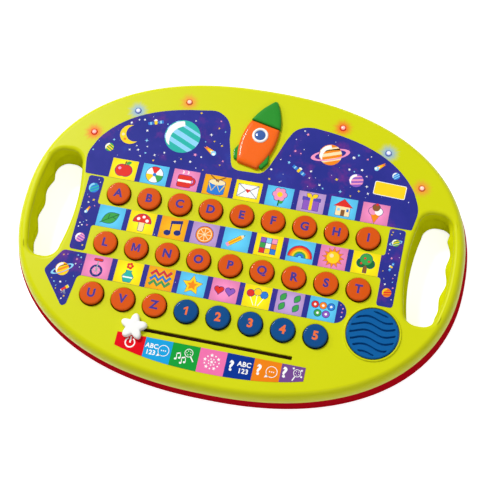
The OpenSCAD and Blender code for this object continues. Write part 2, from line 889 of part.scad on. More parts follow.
module slider_knob() {
    points = [for (a = [0 : 6 : 354]) star_at(a) * [cos(a), sin(a)]];
    color("#f8f8f6")
    translate([slider_rest_x, slot_y, 0]) {
        translate([0, 0, face_z + fit_gap]) linear_extrude(star_h * 0.75) polygon(points);
        translate([0, 0, face_z + fit_gap + star_h / 2])
            linear_extrude(star_h / 2) scale(0.92) polygon(points);
        translate([-stem_l / 2, -stem_w / 2, carriage_top_z - carriage[2]])
            cube([stem_l, stem_w, face_z + 1 - carriage_top_z + carriage[2]]);
    }
}

module slider_carriage() {
    color("#e6e4de")
    translate([slider_rest_x, slot_y, carriage_top_z - carriage[2]])
        difference() {
            translate([-carriage[0] / 2, -carriage[1] / 2, 0]) cube(carriage);
            translate([-stem_l / 2 - 0.05, -stem_w / 2 - 0.05, -1])
                cube([stem_l + 0.1, stem_w + 0.1, carriage[2] + 2]);
        }
}

// sprung strip that wipes over the board's contacts
module slider_wiper() {
    low = board_top_z + fit_gap;
    top = carriage_top_z - carriage[2];
    color("#d9b45a")
    translate([slider_rest_x, slot_y + 4, 0])
        rotate([90, 0, 0])
            linear_extrude(8)
                polygon([
                    [-6.5, top], [-6.5, top - wiper_t], [2, top - wiper_t], [5.4, low],
                    [6.4, low], [6.4, low + wiper_t], [5.8, low + wiper_t], [2.6, top]
                ]);
}

// ---------- emblem ----------

// rocket seen from the side: the shape that two arcs enclose, between two heights
module rocket_lens(grow, from_y, to_y) {
    intersection() {
        translate([lens_r - emblem_w / 2, 0]) circle(r = lens_r + grow, $fn = 96);
        translate([emblem_w / 2 - lens_r, 0]) circle(r = lens_r + grow, $fn = 96);
        translate([-40, from_y]) square([80, to_y - from_y]);
    }
}

module on_emblem(z) {
    translate([emblem_at[0], emblem_at[1], z]) rotate([0, 0, emblem_turn]) children();
}

module emblem_hull() {
    color("#ee6a14")
    difference() {
        union() {
            on_emblem(face_z) linear_extrude(emblem_t * 0.8) rocket_lens(0, emblem_tail, emblem_nose);
            on_emblem(face_z + emblem_t / 2) linear_extrude(emblem_t / 2)
                rocket_lens(-1.2, emblem_tail + 1, emblem_nose);
        }
        on_emblem(face_z + emblem_t - 1.5) translate([0, porthole_at, 0])
            cylinder(r = porthole_r + 0.05, h = 3);
    }
}

module emblem_fins() {
    fin = [[11, -4], [15, -16], [12, -23], [8, -21.5]];
    color("#2f8a2c") {
        on_emblem(face_z) linear_extrude(emblem_t * 0.8)
            rocket_lens(0.6, emblem_nose + 0.1, emblem_half_l + 2);
        on_emblem(face_z) both_sides()
            linear_extrude(emblem_t * 0.6)
                difference() {
                    polygon([for (p = fin) [p[0] * emblem_w / 28, p[1]]]);
                    rocket_lens(0.1, emblem_tail - 0.1, emblem_nose);
                }
    }
}

module emblem_porthole() {
    color("#f4f6f8")
    on_emblem(face_z + emblem_t - 1.5) translate([0, porthole_at, 0]) {
        cylinder(r = porthole_r, h = 1.6);
        rotate_extrude() translate([porthole_r - 1.2, 1.5]) circle(r = 1.1, $fn = 24);
    }
}

// ---------- labels ----------

// an arch with a notch round the emblem
module label_upper() {
    low = key_y(0) + row_pitch / 2 + band_lift - band_depth / 2;
    top = back;
    color("#2e2f95")
    translate([0, 0, face_z])
        linear_extrude(label_t)
            difference() {
                intersection() {
                    polygon(oval(upper_label[0], upper_label[1], 2.8));
                    polygon([
                        [4.8 - grip_in, low], [grip_in - 4.8, low], [grip_in, low + 24],
                        [grip_in, top], [-grip_in, top], [-grip_in, low + 24]
                    ]);
                }
                translate(emblem_at)
                    polygon([
                        [-12, -28.5], [6, -28], [9.5, -26], [12.5, -21], [17, -9], [21.5, 4],
                        [25.5, 12.5], [29, 16], [34, 18.4], [42, 19.5], [44, 26], [-44, 26],
                        [-42, 20], [-37, 19.5], [-31, 16.5], [-27, 12], [-24.5, 6], [-23.5, -3],
                        [-21, -12], [-18.2, -22.5], [-16.5, -26.5]
                    ]);
            }
}

module label_middle() {
    top = key_y(0) + row_pitch / 2 + band_lift - band_depth / 2 - 1.2;
    color("#2e2f95")
    translate([0, 0, face_z])
        linear_extrude(label_t) {
            for (x = [-label_reach, -tile_left])
                translate([x, label_side_low]) square([label_reach + tile_left, top - label_side_low]);
            translate([-label_reach, band_y(0) - band_depth / 2]) square([2 * label_reach, band_depth]);
        }
}

module label_lower() {
    mid = band_y(1);
    half = band_depth / 2;
    right = key_x(key_rows[2] - 1) + key_bore_d / 2 + 0.5;
    color("#2e2f95")
    translate([0, 0, face_z])
        linear_extrude(label_t) {
            polygon([
                [tile_left, mid + half], [5 - grip_in, mid + half], [-6 - grip_in, mid - 9.8],
                [15 - grip_in, mid - 36], [18.5 - grip_in, mid - 34], [tile_left, mid - half]
            ]);
            translate([tile_left - 0.1, mid - half]) square([right - tile_left + 0.1, band_depth]);
            translate([right, mid]) circle(r = half);
        }
}

module label_mode() {
    color("#e0243a")
    translate([0, 0, face_z])
        linear_extrude(label_t)
            intersection() {
                polygon(lid_oval(13));
                translate([-mode_label_half, mode_label_top - 60]) square([2 * mode_label_half, 60]);
            }
}

// ---------- keys ----------

// a cap with a flange that keeps it under the face, and a tube that slides round a rubber post
module key_cap(row, col) {
    r = cap_d / 2;
    in_z = key_top_z - cap_wall;
    color(row == 2 && col > 2 ? "#0f5fa6" : "#f0690f")
    translate([key_x(col), key_y(row), 0])
        rotate_extrude()
            polygon([
                [0, key_top_z], [r - cap_edge, key_top_z], [r - cap_edge * 0.3, key_top_z - cap_edge * 0.3],
                [r, key_top_z - cap_edge], [r, flange_top_z], [r + key_flange, flange_top_z],
                [r + key_flange, flange_z], [r - cap_wall, flange_z], [r - cap_wall, in_z],
                [tube_r, in_z], [tube_r, flange_z], [tube_r - tube_wall, flange_z],
                [tube_r - tube_wall, in_z], [0, in_z]
            ]);
}

top_shell();
bottom_shell();
battery_door();
door_screw();
batteries();
battery_contacts();
rubber_feet();
case_screws();
main_board();
board_screws();
keypad_rubber();
sound_chip();
capacitors();
speaker_grille();
speaker_basket();
speaker_cone();
speaker_magnet();
leds_red();
leds_blue();
leds_orange();
led_board_left();
led_board_right();
ribbon_cables();
slider_knob();
slider_carriage();
slider_wiper();
emblem_hull();
emblem_fins();
emblem_porthole();
label_upper();
label_middle();
label_lower();
label_mode();
key_cap(0, 0);  // key_a
key_cap(0, 1);  // key_b
key_cap(0, 2);  // key_c
key_cap(0, 3);  // key_d
key_cap(0, 4);  // key_e
key_cap(0, 5);  // key_f
key_cap(0, 6);  // key_g
key_cap(0, 7);  // key_h
key_cap(0, 8);  // key_i
key_cap(1, 0);  // key_l
key_cap(1, 1);  // key_m
key_cap(1, 2);  // key_n
key_cap(1, 3);  // key_o
key_cap(1, 4);  // key_p
key_cap(1, 5);  // key_q
key_cap(1, 6);  // key_r
key_cap(1, 7);  // key_s
key_cap(1, 8);  // key_t
key_cap(2, 0);  // key_u
key_cap(2, 1);  // key_v
key_cap(2, 2);  // key_z
key_cap(2, 3);  // key_1
key_cap(2, 4);  // key_2
key_cap(2, 5);  // key_3
key_cap(2, 6);  // key_4
key_cap(2, 7);  // key_5
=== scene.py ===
import json
import math
import random
from functools import cache

import bmesh
import bpy
from mathutils import Matrix, Vector
from mathutils.geometry import tessellate_polygon

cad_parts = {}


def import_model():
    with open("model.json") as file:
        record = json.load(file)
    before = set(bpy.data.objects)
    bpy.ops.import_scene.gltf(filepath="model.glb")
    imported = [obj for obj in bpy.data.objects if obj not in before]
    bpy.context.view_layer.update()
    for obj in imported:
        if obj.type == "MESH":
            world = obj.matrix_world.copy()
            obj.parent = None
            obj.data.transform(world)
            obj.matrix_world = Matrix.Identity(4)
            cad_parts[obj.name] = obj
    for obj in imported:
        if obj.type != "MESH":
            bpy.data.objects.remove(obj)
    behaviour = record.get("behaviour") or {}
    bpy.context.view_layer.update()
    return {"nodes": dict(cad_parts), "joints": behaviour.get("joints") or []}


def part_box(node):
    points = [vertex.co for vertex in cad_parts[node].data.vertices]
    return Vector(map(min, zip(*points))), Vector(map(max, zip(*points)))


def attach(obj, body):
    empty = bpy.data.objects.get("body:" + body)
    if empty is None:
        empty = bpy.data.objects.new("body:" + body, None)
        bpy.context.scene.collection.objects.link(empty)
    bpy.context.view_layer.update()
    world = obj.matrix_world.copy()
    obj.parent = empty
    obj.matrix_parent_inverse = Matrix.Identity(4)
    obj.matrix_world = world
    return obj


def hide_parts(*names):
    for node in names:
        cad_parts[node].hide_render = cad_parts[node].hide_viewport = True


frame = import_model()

MM = 0.001
QUARTER = math.pi / 2
random.seed(7)

# ---------- sizes, in millimetres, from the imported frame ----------


def corners_of(node):
    """Lowest and highest corner of a CAD node, in millimetres."""
    low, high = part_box(node)
    return low / MM, high / MM


def middle_of(node):
    low, high = corners_of(node)
    return (low + high) / 2


def half_width(node):
    low, high = corners_of(node)
    return (high.x - low.x) / 2


LID_A, LID_B = corners_of("top_shell")[1].x, corners_of("top_shell")[1].y
FULLNESS = 2.28                    # of the oval outline, 2 being an ellipse
FACE_Z, SHEET_Z = corners_of("label_upper")[0].z, corners_of("label_upper")[1].z
UNDER_Z = FACE_Z - 2.5
TRAY_Z = corners_of("bottom_shell")[0].z
SPLIT_Z = corners_of("bottom_shell")[1].z - 2
TRAY_SHY = 1.5                     # how far the tray's ends stay inside the CAD's
SWELL_X = corners_of("bottom_shell")[1].x - LID_A - TRAY_SHY
SWELL_Y = corners_of("bottom_shell")[1].y - LID_B
LID_ROUND = 6.2                    # how far the rounded side of the lid comes in
WALL = 2.4
SUPPORT = 0.2                      # width of the flat strip beside a rounded edge
SEAM, SEAM_IN = 0.4, 0.3           # chamfer of lid and tray at their joint: height and width
TRAY_TURN, TRAY_ROUND = 0.3, 6     # the tray's rounded lower edge: share of its height, and width

GRIP_LENGTH, GRIP_GAP, GRIP_BAR = 92.0, 30.0, 10.25
GRIP_Y, GRIP_BOW, GRIP_CORNER = -1.75, 4.0, 11.0
GRIP_IN = LID_A - GRIP_BAR - GRIP_GAP
GRIP_LIP, GRIP_LIP_IN, GRIP_WALL = 3.0, 3.5, 2.2
GRIP_LEAN, GRIP_LEAN_IN = 2.75, 4.25   # how far bar and inner wall lean out on their way down
GRIP_SWELL = 1.6                   # how far the bar's inner side bulges in, where lid and tray meet
SWELL_POWER = 1.6                  # of its curve: 1 is a straight slope, 2 a quarter of an ellipse
RIB_PITCH, RIB_SHIFT, RIB_DEPTH, RIB_FADE = 24.5, 6.75, 2.4, 6.0

KEY_ROWS = ["abcdefghi", "lmnopqrst", "uvz12345"]
KEY_FLANGE = 1.5
KEY_R = half_width("key_a") - KEY_FLANGE
KEY_LOW, KEY_TOP = corners_of("key_a")[0].z, corners_of("key_a")[1].z
KEY_PAINTED_SHADE_HEIGHT = 2.4                     # height over the face up to which a key's side is painted dark as shade
CAP_SHY = 0.28                     # how far the cap stays inside the CAD's
KEY_BORE, BORE_EDGE, HOLE_EDGE = KEY_R + 0.4, 0.45, 0.3
LEGEND, LEGEND_BOLD = 6.6, 0.055   # height of a key's letter, and how much its lines are widened
SLEEVE_Z, SLEEVE_WALL = UNDER_Z - 2.5, 1.2

SLIDER = middle_of("slider_carriage")
SLIDER_TRAVEL = next(j for j in frame["joints"] if j["name"] == "mode_slide")["range_m"][1] / MM
SLOT_HALF_W, SLOT_CORNER = 1.5, 0.4
SLOT_START, SLOT_END = SLIDER.x - 2.3, SLIDER.x + SLIDER_TRAVEL + 2.3
STAR_R = 10.5

SPEAKER = middle_of("speaker_grille")
GRILLE_TOP = corners_of("speaker_grille")[1].z
GRILLE_R = half_width("speaker_grille") - 1.8
BOSS_H, BOSS_FOOT, BOSS_TOP = 1.2, 1.9, 0.9    # the raised ring round the grille: height and widths
LAMP_R = 2.5

ROCKET_AT, ROCKET_TURN = (-0.5, LID_B - 49), -12.0
ROCKET_HALF, ROCKET_W = 37.0, 28.0          # half its length, and its width, as a full lens
ROCKET_TAIL, ROCKET_NOSE, ROCKET_WINDOW, PORTHOLE_R = -24.0, 14.0, 3.0, 6.5

SCREWS = [(38, 108), (122, 52), (148, -60), (86, -96)]
SCREW_WELL_R, SCREW_WELL_Z = 3.3, SPLIT_Z - 8
FEET = [(118, 76), (112, -78)]
DOOR_LOW, DOOR_HIGH = corners_of("battery_door")
DOOR_LUG_R = 6.0

TILE_PITCH, TILE_W = 25.4, 21.2
TILE_ROWS = [(26.5, 43.5), (-15.95, 2.25), (-58.3, -40.2)]
MODE_EDGES = [-72.8, -50, -28.75, -7.5, 13.25, 34.25, 55, 72.8]
MODE_TOP = -96.6

# ---------- outlines: lists of corners in millimetres, anticlockwise ----------


def spaced(start, end, steps):
    """Evenly spaced values, both ends among them."""
    return [start + (end - start) * i / steps for i in range(steps + 1)]


def oval(a, b, power=FULLNESS, steps=288):
    """An oval with half sizes a and b."""
    points = []
    for i in range(steps):
        c, s = math.cos(math.tau * i / steps), math.sin(math.tau * i / steps)
        points.append((a * math.copysign(abs(c) ** (2 / power), c),
                       b * math.copysign(abs(s) ** (2 / power), s)))
    return points


def lid_outline(inset):
    """The lid's oval, smaller all round by an inset."""
    return oval(LID_A - inset, LID_B - inset)


def tray_outline(swell, inset):
    """The tray's oval: swell 1 is its widest, and 0 is as wide as the lid."""
    return oval(LID_A + swell * SWELL_X - inset, LID_B + swell * SWELL_Y - inset)


def arc(x, y, r, start, end, steps=8):
    """Corners along part of a circle, between two angles in degrees."""
    return [(x + r * math.cos(t), y + r * math.sin(t)) for t in map(math.radians, spaced(start, end, steps))]


def disc(x, y, r, squash=1.0, steps=28):
    return [(x + r * math.cos(math.tau * i / steps), y + r * squash * math.sin(math.tau * i / steps))
            for i in range(steps)]


def rect(x0, y0, x1, y1):
    return [(x0, y0), (x1, y0), (x1, y1), (x0, y1)]


def star(x, y, r, inner=0.45, tips=5, turn=90.0):
    """A star whose inner corners are at a share of its radius."""
    points = []
    for i in range(2 * tips):
        t = math.radians(turn + 180 * i / tips)
        reach = r * (inner if i % 2 else 1)
        points.append((x + reach * math.cos(t), y + reach * math.sin(t)))
    return points


def stroke(path, width):
    """A line of even width along a path, with flat ends, as an outline."""
    left, right = [], []
    for i, (x, y) in enumerate(path):
        ahead, behind = path[min(i + 1, len(path) - 1)], path[max(i - 1, 0)]
        dx, dy = ahead[0] - behind[0], ahead[1] - behind[1]
        length = math.hypot(dx, dy)
        nx, ny = -dy / length * width / 2, dx / length * width / 2
        left.append((x + nx, y + ny))
        right.append((x - nx, y - ny))
    return right + left[::-1]


def arch(x, y, r, width, start=0.0, end=180.0, steps=14):
    """Part of a ring."""
    return arc(x, y, r, start, end, steps) + arc(x, y, r - width, end, start, steps)


def moved(points, x, y, turn=0.0, scale=1.0):
    """The outline turned and scaled round the origin, then moved."""
    c, s = math.cos(math.radians(turn)) * scale, math.sin(math.radians(turn)) * scale
    return [(x + c * px - s * py, y + s * px + c * py) for px, py in points]


def mirrored(points):
    return [(-x, y) for x, y in reversed(points)]


def soft(points, radius, least_turn=20.0, closed=True):
    """The same outline with its corners rounded; an open line keeps its two ends."""
    result = []
    count = len(points)
    for i, here in enumerate(points):
        if not closed and i in (0, count - 1):
            result.append(here)
            continue
        here, before, after = Vector(here), Vector(points[i - 1]), Vector(points[(i + 1) % count])
        a, b = before - here, after - here
        turn = math.pi - a.angle(b)
        if math.degrees(turn) < least_turn:
            result.append(tuple(here))
            continue
        longest = 0.46 * min(a.length, b.length)      # leaves some of each side between two corners
        cut = min(radius * math.tan(turn / 2), longest)
        p, q = here + a.normalized() * cut, here + b.normalized() * cut
        for t in spaced(0, 1, 5):
            result.append(tuple(p * (1 - t) ** 2 + here * 2 * t * (1 - t) + q * t ** 2))
    return result


def inside(x, y, outline):
    """Whether a point is in an outline: a line from it crosses an odd number of sides."""
    odd = False
    for (x0, y0), (x1, y1) in zip(outline, outline[1:] + outline[:1]):
        if (y0 > y) != (y1 > y) and x < x0 + (y - y0) * (x1 - x0) / (y1 - y0):
            odd = not odd
    return odd


def bar_x(y):
    """Inner side of the right grip's bar, which keeps its width along the oval."""
    return LID_A * (1 - (abs(y) / LID_B) ** FULLNESS) ** (1 / FULLNESS) - GRIP_BAR


def rib(t):
    """Height of the ribs between the fingers, at a distance from the grip's middle."""
    fade = min(1, max(0, (GRIP_LENGTH / 2 - GRIP_CORNER - abs(t)) / RIB_FADE))
    return RIB_DEPTH / 2 * (1 + math.cos(math.tau * (t - RIB_SHIFT) / RIB_PITCH)) * fade


def grip_swell(z):
    """How far the bar's inner side stands in from its rounded edge: furthest where lid and tray meet."""
    if z < SPLIT_Z:
        return GRIP_SWELL - (GRIP_SWELL + GRIP_LEAN) * (SPLIT_Z - z) / (SPLIT_Z - TRAY_Z)
    drop = FACE_Z - z
    lip = GRIP_LIP * math.sqrt(1 - (1 - min(1, drop / GRIP_LIP)) ** 2)
    share = 1 - drop / (FACE_Z - SPLIT_Z)
    return max(0, (GRIP_LIP + GRIP_SWELL) * (1 - share ** SWELL_POWER) ** (1 / SWELL_POWER) - lip)


def grip_outline(side, bar_grow, key_grow, z):
    """A grip opening at a height, with ribs on the bar; its other walls lean out towards the bottom."""
    top = FACE_Z - GRIP_LIP
    depth = min(1, max(0, (top - z) / (top - TRAY_Z)))
    ribs = min(1, max(0, (top - z) / (top - SPLIT_Z)))
    lean, inner = -grip_swell(z), GRIP_IN + GRIP_LEAN_IN * depth
    h = GRIP_LENGTH / 2 - GRIP_CORNER
    r, r_in = GRIP_CORNER + bar_grow, GRIP_CORNER + key_grow
    bow = [(inner - key_grow - GRIP_BOW * (1 - t ** 2), GRIP_Y + h * t) for t in spaced(1, -1, 20)[1:-1]]
    bar = [(bar_x(GRIP_Y + t) + bar_grow + lean - ribs * rib(t), GRIP_Y + t) for t in spaced(-h, h, 72)[1:-1]]
    points = (arc(bar_x(GRIP_Y + h) + lean - GRIP_CORNER, GRIP_Y + h, r, 0, 90)
              + arc(inner + GRIP_CORNER, GRIP_Y + h, r_in, 90, 180) + bow
              + arc(inner + GRIP_CORNER, GRIP_Y - h, r_in, 180, 270)
              + arc(bar_x(GRIP_Y - h) + lean - GRIP_CORNER, GRIP_Y - h, r, 270, 360) + bar)
    return points if side > 0 else mirrored(points)


def door_outline(grow):
    """Battery door: a rectangle with a round lug for its screw."""
    half = -DOOR_LOW.x + grow
    lug_y = DOOR_HIGH.y - DOOR_LUG_R
    top = lug_y - DOOR_LUG_R + 1.4 + grow
    lug = DOOR_LUG_R + grow
    return ([(-half, DOOR_LOW.y - grow), (half, DOOR_LOW.y - grow), (half, top), (lug, top)]
            + arc(0, lug_y, lug, 0, 180, 16) + [(-lug, top), (-half, top)])


# ---------- meshes ----------


def in_scene(name, data):
    """A new object in the scene."""
    obj = bpy.data.objects.new(name, data)
    bpy.context.scene.collection.objects.link(obj)
    return obj


def plain_mesh(obj, merge, fill):
    """The object's finished mesh, with doubles merged and faces turned outwards; the object goes."""
    bpy.context.view_layer.update()
    mesh = bpy.data.meshes.new_from_object(obj.evaluated_get(bpy.context.evaluated_depsgraph_get()))
    obj.modifiers.clear()
    bpy.data.objects.remove(obj)
    bm = bmesh.new()
    bm.from_mesh(mesh)
    bmesh.ops.remove_doubles(bm, verts=bm.verts, dist=merge)
    if fill:
        bmesh.ops.holes_fill(bm, edges=[e for e in bm.edges if len(e.link_faces) == 1], sides=0)
    bmesh.ops.recalc_face_normals(bm, faces=bm.faces)
    bm.to_mesh(mesh)
    bm.free()
    return mesh


@cache
def glyphs(words, bold):
    """Corners and faces of centred text, one unit high, between z = -1 and z = 1."""
    curve = bpy.data.curves.new("glyph", "FONT")
    curve.body, curve.align_x, curve.align_y = words, "CENTER", "CENTER"
    curve.size, curve.extrude, curve.offset = 1.4, 1.0, bold
    curve.resolution_u, curve.space_character = 4, 1.06
    mesh = plain_mesh(in_scene("glyph", curve), 1e-4, False)
    heights = [v.co.y for v in mesh.vertices]
    middle = (min(heights) + max(heights)) / 2
    corners = [(v.co.x, v.co.y - middle, v.co.z) for v in mesh.vertices]
    faces = [list(face.vertices) for face in mesh.polygons]
    bpy.data.meshes.remove(mesh)
    return corners, faces


class Build:
    """Collects corners and faces in millimetres, and makes one piece of them; an ink is a finish's number."""

    def __init__(self):
        self.corners, self.faces, self.inks = [], [], []

    def loop(self, outline, z):
        start = len(self.corners)
        self.corners += [(x, y, z) for x, y in outline]
        return list(range(start, len(self.corners)))

    def face(self, indices, ink=0):
        self.faces.append(tuple(indices))
        self.inks.append(ink)

    def strip(self, a, b, ink=0):
        """Joins two loops that have as many corners each."""
        for i in range(len(a)):
            j = (i + 1) % len(a)
            self.face((a[i], a[j], b[j], b[i]), ink)

    def skin(self, maker, stations, ink=0):
        """Lofts the outlines that maker gives for each station; a station's last value is its height."""
        loops = [self.loop(maker(*station[:-1]), station[-1]) for station in stations]
        for a, b in zip(loops, loops[1:]):
            self.strip(a, b, ink)
        return loops

    def close(self, loop, up, ink=0):
        """Closes a loop with one face that looks up or down."""
        self.face(loop if up else loop[::-1], ink)

    def fill(self, loops, up):
        """Fills a flat region; the first loop is its outside and the others are holes in it."""
        flat = [i for loop in loops for i in loop]
        for triangle in tessellate_polygon([[Vector(self.corners[i]) for i in loop] for loop in loops]):
            a, b, c = (flat[i] for i in triangle)
            pa, pb, pc = (Vector(self.corners[i]) for i in (a, b, c))
            if ((pb - pa).cross(pc - pa).z > 0) != up:
                b, c = c, b
            self.face((a, b, c))

    def prism(self, outline, z0, z1, ink=0):
        low, high = self.loop(outline, z0), self.loop(outline, z1)
        self.strip(low, high, ink)
        self.close(high, True, ink)
        self.close(low, False, ink)

    def dome(self, outline, centre, stations):
        """A cushion-like form over an outline: stations are (share of its size, height)."""
        cx, cy = centre
        loops = self.skin(lambda share: [(cx + (x - cx) * share, cy + (y - cy) * share) for x, y in outline],
                          stations)
        self.close(loops[0], False)
        self.close(loops[-1], True)

    def text(self, words, x, y, size, z0, z1, ink, bold):
        corners, faces = glyphs(words, bold)
        start = len(self.corners)
        self.corners += [(x + size * gx, y + size * gy, z1 if gz > 0 else z0) for gx, gy, gz in corners]
        for face in faces:
            self.face([start + i for i in face], ink)

    def turn(self, x, y, angle):
        """Turns everything round the origin, then moves it."""
        flat = moved([c[:2] for c in self.corners], x, y, angle)
        self.corners = [(px, py, c[2]) for (px, py), c in zip(flat, self.corners)]

    def piece(self, name, finishes, sharp=38.0):
        mesh = bpy.data.meshes.new(name)
        mesh.from_pydata([Vector(c) * MM for c in self.corners], [], self.faces)
        for finish in finishes:
            mesh.materials.append(finish)
        mesh.polygons.foreach_set("material_index", self.inks)
        mesh.shade_smooth()
        mesh.set_sharp_from_angle(angle=math.radians(sharp))
        mesh.validate()
        return in_scene(name, mesh)


def rounded_edge(size, z, steps):
    """Stations of a rounded edge that runs from a flat face over into a wall below it."""
    return [(size * (1 - math.sin(a)), z - size * (1 - math.cos(a))) for a in spaced(0, QUARTER, steps)]


# ---------- nodes ----------


def operator(operation, turned=False):
    """A Python operator that adds a Math node; turned swaps its two values."""
    def add(self, other):
        return self.nodes.maths(operation, *((other, self) if turned else (self, other)))
    return add


class Value:
    """A node socket that Python's operators work on."""

    def __init__(self, nodes, socket):
        self.nodes, self.socket = nodes, socket

    __add__ = __radd__ = operator("ADD")
    __mul__ = __rmul__ = operator("MULTIPLY")
    __sub__, __rsub__ = operator("SUBTRACT"), operator("SUBTRACT", turned=True)
    __truediv__, __rtruediv__ = operator("DIVIDE"), operator("DIVIDE", turned=True)
    __pow__ = operator("POWER")


class Nodes:
    """A node tree; node() adds any node to it."""

    def __init__(self, tree):
        self.tree = tree

    def node(self, kind, settings=None, inputs=None, output=0):
        node = self.tree.nodes.new(kind)
        for key, value in (settings or {}).items():
            setattr(node, key, value)
        for key, value in (inputs or {}).items():
            self.feed(value, node.inputs[key])
        return Value(self, node.outputs[output])

    def feed(self, value, socket):
        if isinstance(value, Value):
            self.tree.links.new(value.socket, socket)
        else:
            socket.default_value = value

    def maths(self, operation, *values):
        return self.node("ShaderNodeMath", {"operation": operation}, dict(enumerate(values)))

    def vectors(self, operation, *values, output="Vector"):
        return self.node("ShaderNodeVectorMath", {"operation": operation}, dict(enumerate(values)), output)

    def axis(self, vector, name):
        return self.node("ShaderNodeSeparateXYZ", None, {0: vector}, name)

    def step(self, value, low, high):
        """0 below low, 1 above high, smooth between."""
        return self.node("ShaderNodeMapRange", {"interpolation_type": "SMOOTHSTEP"},
                         {0: value, 1: low, 2: high})


# ---------- finishes ----------

PRINT_GLOSS = 0.04                 # printed film shines much less than bare plastic
INK_DRIFT, INK_ROUGHNESS = 0.06, 0.32
LAMP_LIGHT = 0.9
PAINTED_GLOW_REACH, PAINTED_GLOW_STRENGTH = 4.2, 0.85      # of the glow painted into the lid round each lamp, in lamp radii and at its rim


def srgb(code):
    """Linear colour of a six-digit colour code."""
    parts = [int(code[i:i + 2], 16) / 255 for i in (0, 2, 4)]
    return tuple(c / 12.92 if c <= 0.04045 else ((c + 0.055) / 1.055) ** 2.4 for c in parts) + (1.0,)


def shade(code, factor):
    """A colour code's colour, made lighter or darker."""
    return tuple(min(1, c * factor) for c in srgb(code)[:3]) + (1.0,)


class Finish(Nodes):
    """A material with one Principled shader, and the nodes that feed it."""

    def __init__(self, name, **constants):
        self.material = bpy.data.materials.new(name)
        self.material.use_nodes = True
        super().__init__(self.material.node_tree)
        self.set(**constants)

    def set(self, **values):
        """Sets or links the shader's sockets, named with _ for a space."""
        for socket, value in values.items():
            self.feed(value, self.tree.nodes["Principled BSDF"].inputs[socket.replace("_", " ")])
        return self.material

    def place(self):
        """Object coordinates in millimetres."""
        here = self.node("ShaderNodeTexCoord", output="Object")
        return self.node("ShaderNodeVectorMath", {"operation": "SCALE"}, {0: here, "Scale": 1 / MM})

    def noise(self, place, size, detail=3.0, roughness=0.5):
        """Soft noise from 0 to 1 whose lumps are about size millimetres wide."""
        return self.node("ShaderNodeTexNoise", {"noise_dimensions": "3D"},
                         {"Vector": place, "Scale": 1 / size, "Detail": detail, "Roughness": roughness})

    def cells(self, place, scale, output="Distance"):
        return self.node("ShaderNodeTexVoronoi", {"feature": "F1"}, {"Vector": place, "Scale": scale}, output)

    def mix(self, share, a, b):
        return self.node("ShaderNodeMix", {"data_type": "RGBA"}, {0: share, 6: a, 7: b}, 2)

    def bump(self, height, distance):
        return self.node("ShaderNodeBump", None, {"Height": height, "Distance": distance * MM})


def plastic(name, code, roughness=0.28, texture=0.0, drift=0.05, coat=0.0, gloss=0.2, foot=0.0):
    """Moulded plastic: a slow drift of shade, fine specks and an uneven gloss.

    foot is how high painted shade reaches up a key's side over the face: the colour is darkened there, and
    fully dark below the face, to stand in for the shade round a key.
    """
    finish = Finish(name, Coat_Roughness=0.08, Specular_IOR_Level=gloss)
    place = finish.place()
    slow = finish.noise(place, 60, 1.0)
    fine = finish.noise(place, 0.5, 2.0)
    wear = finish.step(finish.noise(place, 9, 4.0), 0.5, 0.75)
    colour = finish.mix(slow, shade(code, 1 - drift), shade(code, 1 + drift))
    colour = finish.mix(fine * 0.06, colour, shade(code, 0.8))
    # painted shade: the side darkens towards the face, and the flange below the face is painted dark
    if foot:
        height = finish.step(finish.axis(place, "Z"), FACE_Z, FACE_Z + foot)
        colour = finish.mix(height, shade(code, 0.22), colour)
    if coat:
        finish.set(Coat_Weight=coat - wear * 0.1)
    height = finish.noise(place, 25, 1.0) * 0.5 + fine * texture
    return finish.set(Base_Color=colour, Roughness=roughness + wear * 0.07 + fine * 0.04,
                      Normal=finish.bump(height, 0.06))


def metal(name, code, roughness):
    """Plated or bare metal with fine scratches."""
    finish = Finish(name, Metallic=1.0)
    place = finish.place()
    scratches = finish.noise(place, 0.4, 3.0)
    stain = finish.noise(place, 6, 2.0)
    return finish.set(Base_Color=finish.mix(stain, shade(code, 0.85), shade(code, 1.05)),
                      Roughness=roughness + scratches * 0.15, Normal=finish.bump(scratches, 0.02))


def printed(name, code):
    """Printing ink under a clear film: a faint screen of dots and a slow drift of shade."""
    finish = Finish(name, Specular_IOR_Level=PRINT_GLOSS)
    place = finish.place()
    dots = finish.cells(place, 2.6)
    drift = finish.noise(place, 7, 2.0)
    colour = finish.mix(drift, shade(code, 1 - INK_DRIFT), shade(code, 1 + INK_DRIFT))
    return finish.set(Base_Color=finish.mix(dots * 0.12, colour, shade(code, 0.78)),
                      Roughness=INK_ROUGHNESS + drift * 0.06)


def tile_paper(name, code):
    """A tile's ground: lighter in its middle, with soft brushed patches."""
    finish = Finish(name, Specular_IOR_Level=PRINT_GLOSS, Roughness=0.33)
    place = finish.place()
    row_pitch, first_row, whole = 42.3, 35.0, 100.5
    column = finish.maths("FRACT", finish.axis(place, "X") / TILE_PITCH + whole) - 0.5
    row = finish.maths("FRACT", (finish.axis(place, "Y") - first_row) / row_pitch + whole) - 0.5
    row = row * (row_pitch / TILE_PITCH)
    reach = (column * column + row * row) ** 0.5
    brushed = finish.noise(place, 5, 3.0)
    edge = finish.step(reach + brushed * 0.16, 0.12, 0.6)
    return finish.set(Base_Color=finish.mix(edge, shade(code, 1.22), shade(code, 0.9)))


